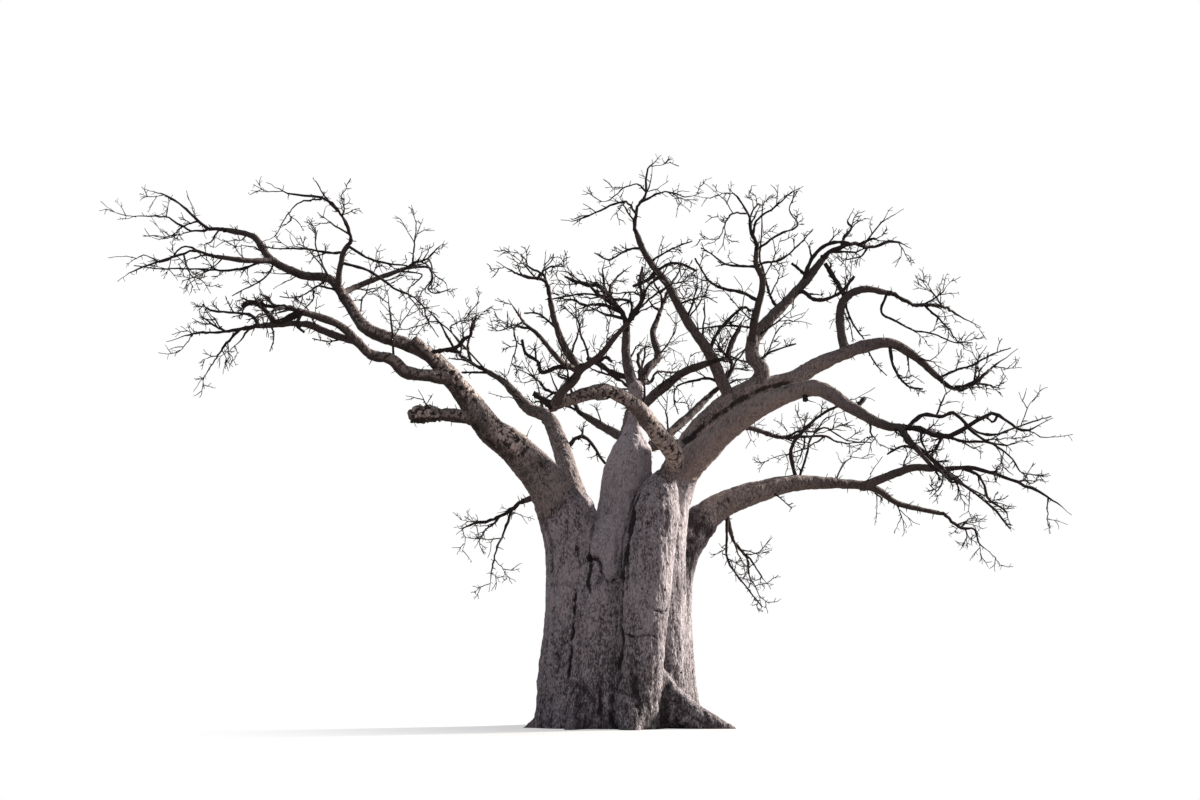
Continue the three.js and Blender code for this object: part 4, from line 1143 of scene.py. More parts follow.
def coarse_twigs(
    number: int, limb: Limb, form: Twig, obstacles: Obstacles
) -> tuple[list[Twig], Array, Array]:
    """The twigs that the mass's solid has.

    Args:
        number: The limb's number in the list.
        limb: The limb that the mass grows on from.
        form: The limb's centre line and radii.
        obstacles: What its side twigs keep clear of.

    Returns:
        The twigs, and the lowest and highest corner of the mass's space.
    """
    ends = np.vstack([placed(limb.reaches), form.line[-1:]])
    low, high = ends.min(axis=0) - SPACE_MARGIN, ends.max(axis=0) + SPACE_MARGIN
    high[2] += HEADROOM - SPACE_MARGIN
    low[2] = max(low[2], LOWEST_TWIG)
    leaders = leaders_of(number, limb, form)
    count = SIDE_TWIGS if len(leaders) < WIDE_FORK else SIDE_TWIGS - 1
    sides = [side_twig(number, leader, k) for leader in leaders for k in range(count)]
    kept = [twig for twig in sides if inside(twig, low, high) and obstacles.clear_of(twig)]
    return leaders + kept, low, high


@dataclass(frozen=True)
class TwigRing:
    """How a level of twigs is drawn and how many side twigs it bears."""

    sides: int
    steps: int
    side_twigs: int


@dataclass
class Crown:
    """All masses of twigs: they start as the solids do and are carried to finer twigs."""

    levels: tuple[TwigRing, ...] = (
        TwigRing(7, 5, 5), TwigRing(5, 4, 3), TwigRing(4, 3, 1), TwigRing(3, 2, 0)
    )
    least_length: float = 0.1
    air: float = 0.5
    tip_radius: float = 0.008
    limb_code: int = 15
    limb_shoots_each_metre: float = 0.8
    most_limb_shoots: int = 6
    stoutest_limb: float = 0.19
    longest_limb: float = 3.4
    shoot_girth: float = 0.5
    spur_gap: float = 0.3
    limb_spur_gap: float = 0.15
    spur_length: tuple[float, float] = (0.05, 0.15)
    spur_span: tuple[float, float] = (0.08, 0.97)
    spur_lean: float = 0.8
    spur_bend: float = 0.2
    spur_girth: float = 0.8
    stoutest_spur: float = 0.016
    stoutest_shoot: float = 0.05
    knob: float = 0.2
    crook: float = 0.19
    sunk: float = 1.1
    forms: dict[str, Twig] = field(init=False)

    def __post_init__(self) -> None:
        """Takes every limb as its solid has it."""
        self.forms = {name: limb_form(limb) for name, limb in LIMBS.items()}

    def build(self, finish: bpy.types.Material) -> None:
        """Builds one piece for each mass, in place of its node, and the side shoots' pieces.

        Args:
            finish: The twigs' material.
        """
        obstacles, limbs = Obstacles(), Obstacles()
        for form in self.forms.values():
            obstacles.add(form)
            limbs.add(form)
        for number, (name, limb) in enumerate(LIMBS.items()):
            if not limb.reaches:
                continue
            coarse, low, high = coarse_twigs(number, limb, self.forms[name], obstacles)
            for twig in coarse:
                obstacles.add(twig)
            twigs = self.finer_twigs(number, coarse, limbs, low, high)
            twig_piece("shoots_" + name, self.tubes(number, twigs), finish, ["twigs_" + name])
        tree_low, tree_high = np.array(CAD_BOX[0]), np.array(CAD_BOX[1])
        for region in ("left", "centre", "front", "right", "top", "rear"):
            tubes = []
            for number, (name, limb) in enumerate(LIMBS.items()):
                if name.split("_")[0] != region:
                    continue
                first = self.limb_shoots(number, name) + self.offshoots(name)
                twigs = self.finer_twigs(number, first, limbs, tree_low, tree_high)
                tubes += self.tubes(number, twigs) + self.limb_spurs(number, limb)
            twig_piece("side_shoots_" + region, tubes, finish, [])

    def limb_shoots(self, number: int, name: str) -> list[Twig]:
        """Shoots that leave a limb on its way, by the side twigs' rule.

        Args:
            number: The limb's number in the list.
            name: The limb's name.

        Returns:
            The shoots that keep clear of the other limbs.
        """
        form = self.forms[name]
        length = length_of(form.line)
        slim = np.clip(form.radii * self.shoot_girth, LEAST_RADIUS, self.stoutest_shoot)
        parent = Twig(form.line, slim, self.limb_code, min(length, self.longest_limb))
        others = Obstacles()
        for other, other_form in self.forms.items():
            if other not in (name, LIMBS[name].carrier):
                others.add(other_form)
        shoots = []
        for k in range(min(round(length * self.limb_shoots_each_metre), self.most_limb_shoots)):
            shoot = side_twig(number, parent, k)
            at = np.linalg.norm(form.line - shoot.line[0], axis=1).argmin()
            if form.radii[at] > self.stoutest_limb or not others.clear_of(shoot, 0):
                continue
            if inside(shoot, np.array(CAD_BOX[0]), np.array(CAD_BOX[1])):
                shoots.append(shoot)
        return shoots

    def offshoots(self, name: str) -> list[Twig]:
        """The slim side limbs that leave a limb.

        Args:
            name: The limb's name.

        Returns:
            Each as a line with radii.
        """
        form = limb_form(LIMBS[name], LIMB_FINENESS)
        own = enumerate(OFFSHOOTS.get(name, ()), self.limb_code + 1)
        return [offshoot_form(each, form, code) for code, each in own]

    def finer_twigs(
        self, number: int, coarse: list[Twig], limbs: Obstacles, low: Array, high: Array
    ) -> list[Twig]:
        """The mass's twigs with the finer ones that the same rule gives.

        Args:
            number: The limb's number in the list.
            coarse: The twigs that the solid has.
            limbs: The limbs, which finer twigs keep clear of.
            low: The lowest corner of the mass's space.
            high: Its highest corner.

        Returns:
            All twigs of the mass.
        """
        known = {twig.code for twig in coarse}
        twigs = list(coarse)
        crowd = np.vstack([np.zeros((0, 3))] + [smooth_line(twig.line, 3) for twig in coarse])
        for parent in twigs:
            for k in range(self.levels[parent.level].side_twigs):
                if parent.code * CODES_PER_TWIG + k + 1 in known:
                    continue
                if parent.level == 0 and k < SIDE_TWIGS and parent.code < self.limb_code:
                    continue
                twig = side_twig(number, parent, k)
                if twig.length < self.least_length or not inside(twig, low, high):
                    continue
                gap = np.linalg.norm(crowd - twig.line[-1], axis=1).min()
                if gap > self.air * twig.length and limbs.clear_of(twig, 0):
                    twigs.append(twig)
                    crowd = np.vstack([crowd, smooth_line(twig.line, 2)[1:]])
        return twigs

    def tubes(self, number: int, twigs: list[Twig]) -> list[TubeArrays]:
        """Twigs and their spurs as points and triangles.

        Args:
            number: The limb's number in the list.
            twigs: The twigs.

        Returns:
            The points and triangles of each.
        """
        tubes = []
        for twig in twigs:
            drawn = self.drawn(number, twig)
            tubes.append(tube_arrays(drawn.line, drawn.radii, self.levels[twig.level].sides))
            if twig.level < len(self.levels) - 1:
                chance = np.random.default_rng((number, twig.code, 1))
                tubes += self.spurs(drawn, round(twig.length / self.spur_gap), chance)
        return tubes

    def drawn(self, number: int, twig: Twig) -> Twig:
        """A twig as it is drawn, crooked and knobbly.

        Args:
            number: The limb's number in the list.
            twig: The twig.

        Returns:
            The same twig with more points.
        """
        ring = self.levels[twig.level]
        chance = np.random.default_rng((number, twig.code))
        line = smooth_line(twig.line, ring.steps)
        radii = np.maximum(between(twig.radii, ring.steps), self.tip_radius)
        stretch = twig.length / len(line)
        inner = slice(2, -1)
        line[inner] += chance.uniform(-1, 1, line[inner].shape) * stretch * self.crook
        radii[inner] *= 1 + self.knob * chance.uniform(-1, 1, radii[inner].shape)
        if twig.code == 1:
            line[0] -= unit(line[1] - line[0]) * radii[0] * self.sunk
        return Twig(line, radii)

    def spurs(self, parent: Twig, count: int, chance: np.random.Generator) -> list[TubeArrays]:
        """Short spurs that stand out from a twig or limb.

        Args:
            parent: The twig or limb as it is drawn.
            count: How many spurs it has.
            chance: The random draws.

        Returns:
            The points and triangles of each spur.
        """
        made = []
        for _ in range(count):
            point, ahead, radius = spot_on(parent, chance.uniform(*self.spur_span))
            across = turned(square_to(ahead), ahead, chance.uniform(0, 2 * np.pi))
            heading = unit(across + ahead * chance.uniform(0, self.spur_lean))
            length = radius + chance.uniform(*self.spur_length)
            bend = chance.uniform(-self.spur_bend, self.spur_bend, 3) * length
            middle, tip = point + heading * 0.6 * length, point + heading * length + bend
            root = max(min(radius * self.spur_girth, self.stoutest_spur), self.tip_radius)
            radii = np.array([root, root * 0.8, self.tip_radius * 0.8])
            made.append(tube_arrays(np.array([point, middle, tip]), radii, 3))
        return made

    def limb_spurs(self, number: int, limb: Limb) -> list[TubeArrays]:
        """Short spurs on the slim length of a limb.

        Args:
            number: The limb's number in the list.
            limb: The limb.

        Returns:
            The points and triangles of each spur.
        """
        form = limb_form(limb, LIMB_FINENESS)
        slim = form.radii < self.stoutest_limb
        if slim.sum() < 2:
            return []
        part = Twig(form.line[slim], form.radii[slim])
        count = round(length_of(part.line) / self.limb_spur_gap)
        return self.spurs(part, count, np.random.default_rng((number, 2)))


def offshoot_form(offshoot: Offshoot, carrier: Twig, code: int) -> Twig:
    """A slim side limb's centre line and radii.

    Args:
        offshoot: The side limb.
        carrier: The limb that it leaves.
        code: The number that settles its twigs.

    Returns:
        The side limb as a line with radii.
    """
    spots = np.column_stack(seen(carrier.line))
    nearest = np.linalg.norm(spots - offshoot.path[0], axis=1).argmin()
    path = np.vstack([spots[nearest], offshoot.path[1:]])
    depth = carrier.line[nearest, 1] + offshoot.back * shares(path)
    line = placed(tuple(map(tuple, np.column_stack([path, depth]))))
    root, tip = offshoot.radius
    radii = root + (tip - root) * shares(line)
    return Twig(line, radii, code, length_of(line) * OFFSHOOT_TWIGS)


def inside(twig: Twig, low: Array, high: Array) -> bool:
    """Whether every point of a twig lies in a box."""
    return bool((twig.line >= low).all() and (twig.line <= high).all())


def added(name: str, data: bpy.types.ID) -> bpy.types.Object:
    """Puts a new object with the given data into the scene.

    Args:
        name: The object's name.
        data: Its mesh, light or camera.

    Returns:
        The new object.
    """
    item = bpy.data.objects.new(name, data)
    bpy.context.scene.collection.objects.link(item)
    return item


def dress(
    name: str, mesh: bpy.types.Mesh, finish: bpy.types.Material, nodes: list[str]
) -> None:
    """Makes a piece of a mesh, hangs it under the root and hides the nodes that it takes the place
    of.

    Args:
        name: The piece's name.
        mesh: Its mesh.
        finish: Its material.
        nodes: The nodes that it replaces.
    """
    piece = added(name, mesh)
    mesh.materials.append(finish)
    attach(piece, "root")
    if nodes:
        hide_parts(*nodes)
    log.info("%s: %d faces", name, len(mesh.polygons))


class Region(Enum):
    """The pieces that the bark is made in, each under the limit on triangles."""

    TRUNK_FRONT = "bark_trunk_front"
    TRUNK_REAR = "bark_trunk_rear"
    LEFT = "bark_left_boughs"
    CENTRE = "bark_centre_boughs"
    RIGHT = "bark_right_boughs"
    REAR = "bark_rear_boughs"

    @classmethod
    def of_tube(cls, name: str) -> "Region":
        """The piece that a tube's bark belongs to; the trunk's counts as its front."""
        return REGION_OF_FIRST_WORD.get(name.split("_")[0], cls.TRUNK_FRONT)

    @property
    def is_trunk(self) -> bool:
        """Whether the piece belongs to the trunk."""
        return self in (Region.TRUNK_FRONT, Region.TRUNK_REAR)


REGION_OF_FIRST_WORD = {
    "left": Region.LEFT,
    "centre": Region.CENTRE,
    "front": Region.CENTRE,
    "right": Region.RIGHT,
    "top": Region.RIGHT,
    "rear": Region.REAR,
}


@dataclass
class Tube:
    """A stem, root or limb as the bark follows it, with how softly it joins what it grows from."""

    name: str
    line: Array
    radii: Array
    soft_low: float
    soft_high: float
    is_limb: bool
    margin: float = 0.45
    stem_joint: tuple[float, float] = (2.6, 4.4)
    limb_joint: tuple[float, float] = (2.2, 5.5)
    run: Array = field(init=False)
    first: Array = field(init=False)
    second: Array = field(init=False)
    low: Array = field(init=False)
    high: Array = field(init=False)

    def __post_init__(self) -> None:
        """Works out the length before each point, the directions round the line and its box."""
        steps = np.linalg.norm(np.diff(self.line, axis=0), axis=1)
        self.run = np.concatenate([[0], np.cumsum(steps)])
        self.first, self.second = frames(self.line)
        wide = self.radii.max() + self.margin
        self.low, self.high = self.line.min(axis=0) - wide, self.line.max(axis=0) + wide

    def near(self, points: Array) -> Array:
        """The numbers of the points that lie near enough to matter."""
        return np.flatnonzero(((points > self.low) & (points < self.high)).all(axis=1))

    def skin(self, points: Array) -> tuple[Array, Array, Array]:
        """How far points lie from the tube's skin.

        Args:
            points: Rows of x, y, z.

        Returns:
            The distance of each point, the stretch that it is nearest to, and how far along it.
        """
        best = np.full(len(points), np.inf)
        stretch = np.zeros(len(points), int)
        part = np.zeros(len(points))
        for i in range(len(self.line) - 1):
            chord = self.line[i + 1] - self.line[i]
            rel = points - self.line[i]
            t = np.clip(rel @ chord / (chord @ chord), 0, 1)
            off = rel - t[:, None] * chord
            gap = np.sqrt(np.einsum("ij,ij->i", off, off))
            gap -= self.radii[i] + t * (self.radii[i + 1] - self.radii[i])
            closer = gap < best
            best[closer] = gap[closer]
            stretch[closer] = i
            part[closer] = t[closer]
        return best, stretch, part

    def softness(self, points: Array, along: Array) -> Array:
        """How softly the tube joins the rest at each point.

        Args:
            points: Rows of x, y, z.
            along: How far along the tube each point lies.

        Returns:
            A length for each point: the wider, the softer.
        """
        span = self.soft_high - self.soft_low
        if not self.is_limb:
            return self.soft_low + span * ramp(points[:, 2], *self.stem_joint)
        start, end = (share * self.radii[0] for share in self.limb_joint)
        return self.soft_low + span * ramp(along, start, end)

    def rounded(self) -> TubeArrays:
        """The tube as points and triangles, with a rounded end.

        Returns:
            Its points and triangles.
        """
        ahead = headings(self.line)[-1] * self.radii[-1]
        line = np.vstack([self.line, self.line[-1] + 0.6 * ahead, self.line[-1] + 0.93 * ahead])
        radii = np.append(self.radii, [0.8 * self.radii[-1], 0.35 * self.radii[-1]])
        return tube_arrays(line, radii, TUBE_SIDES)


def stem_tube(stem: Stem, steps: int) -> Tube:
    """A stem or root of the trunk as a tube.

    Args:
        stem: The stem or root.
        steps: Samples to each span between two of its places.

    Returns:
        The tube.
    """
    line = smooth_line(placed(stem.places), steps)
    radii = between([place[3] for place in stem.places], steps)
    return Tube("trunk", line, radii, stem.soft_low, stem.soft_high, False)


def limb_tube(name: str, limb: Limb) -> Tube:
    """A limb as a tube; its rounded end takes the place of its last radius of length.

    Args:
        name: The limb's name.
        limb: The limb.

    Returns:
        The tube.
    """
    form = limb_form(limb, LIMB_FINENESS)
    end = form.line[-1] - headings(form.line)[-1] * form.radii[-1]
    soft = float(np.clip(form.radii[0] * LIMB_SOFTNESS, *LIMB_SOFT_RANGE))
    return Tube(name, np.vstack([form.line[:-1], end]), form.radii, soft, LIMB_TIP_SOFT, True)


@dataclass
class Skin:
    """What the field says of each point: distance, slope, nearest tube and place on that tube."""

    gap: Array
    slope: Array
    tube: Array
    along: Array
    radius: Array
    round_way: Array
    seam: Array

    def pick(self, values: Sequence) -> Array:
        """What each point takes of values that are given for each tube."""
        return np.array(values)[self.tube]

    def limb_space(self) -> Array:
        """The points unrolled along and round their limbs, far apart for different limbs.

        Returns:
            Rows of three coordinates.
        """
        girth = np.maximum(self.radius, 0.05)
        own = self.tube * 7.3
        return np.column_stack([
            self.along, self.round_way[:, 0] * girth + own, self.round_way[:, 1] * girth - own
        ])


@dataclass
class BarkField:
    """The smooth form of trunk and boughs, as a distance in space."""

    tubes: list[Tube]
    far: float = 5.0

    def names(self) -> list[str]:
        """The name of each tube."""
        return [tube.name for tube in self.tubes]

    def at(self, points: Array) -> Skin:
        """Reads the field.

        Args:
            points: Rows of x, y, z.

        Returns:
            What it says of each point.
        """
        count = len(points)
        total, slope = np.full(count, self.far), np.zeros((count, 3))
        first, second = np.full(count, self.far), np.full(count, self.far)
        owner, along, radius = np.zeros(count, int), np.zeros(count), np.ones(count)
        round_way = np.zeros((count, 2))
        for number, tube in enumerate(self.tubes):
            near = tube.near(points)
            if not near.size:
                continue
            spots = points[near]
            gap, stretch, part = tube.skin(spots)
            mix = part[:, None]
            axis = tube.line[stretch] * (1 - mix) + tube.line[stretch + 1] * mix
            away = spots - axis
            away /= np.maximum(np.linalg.norm(away, axis=1), 1e-6)[:, None]
            run = tube.run[stretch] * (1 - part) + tube.run[stretch + 1] * part
            soft = tube.softness(spots, run)
            before = total[near]
            share = np.clip(0.5 + 0.5 * (before - gap) / soft, 0, 1)
            total[near] = before * (1 - share) + gap * share - soft * share * (1 - share)
            slope[near] = slope[near] * (1 - share[:, None]) + away * share[:, None]
            wins = gap < first[near]
            second[near] = np.where(wins, first[near], np.minimum(second[near], gap))
            first[near] = np.minimum(first[near], gap)
            won = near[wins]
            owner[won] = number
            along[won] = run[wins]
            radius[won] = (tube.radii[stretch] * (1 - part) + tube.radii[stretch + 1] * part)[wins]
            side = (tube.first[stretch] * (1 - mix) + tube.first[stretch + 1] * mix)[wins]
            rest = (tube.second[stretch] * (1 - mix) + tube.second[stretch + 1] * mix)[wins]
            round_way[won, 0] = (away[wins] * side).sum(axis=1)
            round_way[won, 1] = (away[wins] * rest).sum(axis=1)
        size = np.maximum(np.linalg.norm(slope, axis=1), 0.2)
        return Skin(total, slope / size[:, None], owner, along, radius, round_way, second - first)


@dataclass(frozen=True)
class Mark:
    """A crack or a raised lip of the bark: its line as seen from the front, its width and rise."""

    line: tuple[Spot, ...]
    width: float = 0.045
    rise: float = -0.05

    def nearest(self, spots: Array) -> tuple[Array, Array]:
        """How flat spots lie to the mark's line.

        Args:
            spots: Rows of across and up.

        Returns:
            The distance of each spot, at most 1, and the share of the line before its foot.
        """
        gap, share = np.full(len(spots), 1.0), np.zeros(len(spots))
        for i, (start, end) in enumerate(zip(self.line, self.line[1:])):
            away, t = stretch_foot(spots, np.array(start), np.array(end))
            share = np.where(away < gap, (i + t) / (len(self.line) - 1), share)
            gap = np.minimum(gap, away)
        return gap, share


def stretch_foot(
    spots: Array, start: Array, end: Array
) -> tuple[Array, Array]:
    """How flat spots lie to one straight stretch.

    Args:
        spots: Rows of across and up.
        start: Where the stretch starts.
        end: Where it ends.

    Returns:
        The distance of each spot, and how far along the stretch its foot lies, from 0 to 1.
    """
    chord = end - start
    t = np.clip((spots - start) @ chord / (chord @ chord), 0, 1)
    return np.linalg.norm(spots - start - t[:, None] * chord, axis=1), t


def depth_in(corners: Array, spots: Array) -> Array:
    """How deep flat spots lie in an outline.

    Args:
        corners: The outline's corners in order.
        spots: Rows of across and up.

    Returns:
        The distance to the outline, less than 0 outside it.
    """
    away = np.full(len(spots), np.inf)
    within = np.zeros(len(spots), bool)
    for start, end in zip(corners, np.roll(corners, -1, axis=0)):
        away = np.minimum(away, stretch_foot(spots, start, end)[0])
        chord = end - start
        passes = (spots[:, 1] < start[1]) != (spots[:, 1] < end[1])
        rise = chord[1] if chord[1] else 1e-9
        left_of = spots[:, 0] < start[0] + (spots[:, 1] - start[1]) / rise * chord[0]
        within ^= passes & left_of
    return np.where(within, away, -away)


FRONT_MARKS: tuple[Mark, ...] = (
    Mark((
        (-1.13, 3.3), (-1.17, 2.7), (-1.14, 2.3), (-1.19, 2.1), (-1.25, 1.5), (-1.3, 0.9)
    ), 0.045, -0.06),
    Mark(((-1.1, 4.4), (-1.0, 3.9), (-1.02, 3.5)), 0.035, -0.035),
    Mark(((-0.72, 4.85), (-0.8, 4.4), (-0.75, 3.9), (-0.79, 3.5), (-0.76, 3.1)), 0.05, -0.07),
    Mark((
        (0.42, 5.6), (0.3, 5.3), (0.22, 4.8), (0.14, 4.3), (0.05, 3.9), (0.0, 3.3)
    ), 0.065, -0.09),
    Mark((
        (0.0, 3.3), (-0.04, 2.8), (-0.01, 2.3), (-0.02, 1.8), (-0.08, 1.2), (-0.1, 0.8)
    ), 0.04, -0.045),
    Mark(((0.03, 2.16), (0.3, 2.14), (0.6, 2.15), (0.86, 2.12)), 0.04, -0.045),
    Mark(((0.3, 4.9), (0.19, 4.4), (0.13, 3.7), (0.1, 3.2)), 0.04, -0.035),
    # The crease where the right front bough parts from the right great bough: a groove darkened as
    # painted shade, and over it a wide shallow band whose painted shade stands for the shadow on
    # the great bough above the front bough
    Mark((
        (1.35, 6.65), (1.89, 7.16), (2.44, 7.56), (2.85, 7.86), (3.36, 8.1), (4.4, 8.36)
    ), 0.09, -0.05),
    Mark((
        (1.4, 6.8), (1.86, 7.25), (2.42, 7.65), (2.83, 7.95), (3.34, 8.18), (4.4, 8.42)
    ), 0.3, -0.016),
    Mark(((0.75, 2.75), (0.98, 2.68), (1.1, 2.8)), 0.04, -0.04),
    Mark(((-0.5, 1.1), (-0.53, 0.7), (-0.52, 0.3)), 0.045, -0.045),
    Mark(((-0.45, 2.9), (-0.43, 2.4)), 0.035, -0.03),
    Mark(((0.45, 6.0), (0.35, 5.75), (0.2, 5.6), (-0.05, 5.5), (-0.12, 5.2)), 0.1, 0.035),
    Mark(((-0.42, 3.74), (-0.36, 3.64), (-0.3, 3.54)), 0.11, 0.05),
    Mark(((-0.14, 3.76), (-0.18, 3.66), (-0.26, 3.57)), 0.1, 0.05),
    Mark(((-0.2, 4.6), (-0.26, 4.2), (-0.22, 3.85)), 0.07, 0.035),
    Mark(((-0.08, 4.55), (-0.12, 4.1), (-0.14, 3.85)), 0.045, -0.045),
    Mark(((-0.36, 4.5), (-0.4, 4.2), (-0.36, 4.0)), 0.045, -0.035),
    Mark((
        (-0.86, 4.03), (-0.62, 3.98), (-0.52, 3.86), (-0.5, 3.68), (-0.29, 3.42), (-0.08, 3.58)
    ), 0.05, -0.045),
    Mark(((-0.45, 5.02), (-0.3, 5.0), (-0.18, 4.98)), 0.07, 0.03),
)
# The flap of bark that hangs over the middle stem, as seen from the front
FLAP = np.array([
    (-0.86, 4.8), (-0.85, 4.12), (-0.58, 4.06), (-0.45, 3.95), (-0.44, 3.76), (-0.3, 3.5),
    (-0.15, 3.58), (-0.06, 3.8), (0.0, 4.2), (0.12, 4.8), (-0.3, 5.1),
])

# Painted shadow of the right low bough on the bark in the fork below it: its middle, and where it
# fades
FORK_SHADOW_MIDDLE = (1.35, 4.45, 0.75)
FORK_SHADOW_REACH = (1.5, 0.5)
# The two boughs that part along a crease, with painted shade along it
PARTING_BOUGHS = ("right_great_bough", "right_front_bough")
# How far from a bough's root the trunk's bark takes on the bough's tone
BASE_REACH = (1.0, 2.6)
# Stems and limbs whose bark is paler or darker than the rest
STEM_TONES = {"left": 0.14, "centre": 0.42, "front": -0.06}
LIMB_TONES = {
    "right_great_bough": 0.22, "right_front_bough": 0.36, "left_great_bough": -0.1,
    "left_high_bough": -0.12, "left_low_bough": -0.05, "front_arch_bough": -0.04,
}


@dataclass(frozen=True)
class Flakes:
    """Where a limb's bark is flaky: how far along it starts, and the side that has peeled, which
    faces the light; there its pale bark also stands in for sunlight, and the other side gets
    painted shade.
    """

    start: float
    side: tuple[float, float, float]


FLAKY_LIMBS: dict[str, Flakes] = {
    "front_arch_bough": Flakes(0.4, (0.25, -0.6, -0.75)),
    "left_great_bough": Flakes(1.7, (0.64, -0.3, 0.7)),
    "left_high_bough": Flakes(0.9, (0.6, -0.2, 0.77)),
    "left_low_bough": Flakes(0.0, (0.2, -0.4, 0.89)),
    "left_burl_stub": Flakes(0.0, (0.1, -0.45, 0.89)),
}
NO_FLAKES = Flakes(np.inf, (0.0, 0.0, 0.0))


@dataclass(frozen=True)
class Layer:
    """One layer of uneven bark: the size of its bumps, its seed and how its axes are squeezed."""

    size: float
    seed: int
    squeeze: tuple[float, float, float] = (1, 1, 1)

    def at(self, points: Array) -> Array:
        """The layer's value at each point, from about -1 to 1."""
        return rough(points * self.squeeze / self.size, self.seed)

    def ridges(self, points: Array) -> Array:
        """Sharp crests, 1 at their tops, with broad hollows between them."""
        return 1 - np.abs(self.at(points)) * 2.2


@dataclass(frozen=True)
class Scatter:
    """Round spots strewn over the bark: their spacing, seed, number, edge and squeezed axes."""

    size: float
    seed: int
    share: float
    uneven: float
    edge: tuple[float, float]
    squeeze: tuple[float, float, float] = (1, 1, 1)

    def at(self, points: Array, ragged: Array) -> Array:
        """How much of a spot there is at each point, with edges made uneven by the roughness."""
        away = dots(points * self.squeeze / self.size, self.seed, self.share)
        return 1 - ramp(away + self.uneven * ragged, *self.edge)


def limb_bases(points: Array) -> tuple[Array, Array]:
    """How close each point is to the root of a bough of the trunk.

    Args:
        points: Rows of x, y, z.

    Returns:
        1 at a root and 0 away from it, and the tone of the nearest bough.
    """
    nearest = np.full(len(points), np.inf)
    tone = np.zeros(len(points))
    for name, limb in LIMBS.items():
        if limb.carrier == "trunk":
            away = np.linalg.norm(points - placed(limb.path[:1])[0], axis=1)
            tone = np.where(away < nearest, LIMB_TONES.get(name, 0.0), tone)
            nearest = np.minimum(nearest, away)
    return 1 - ramp(nearest, *BASE_REACH), tone


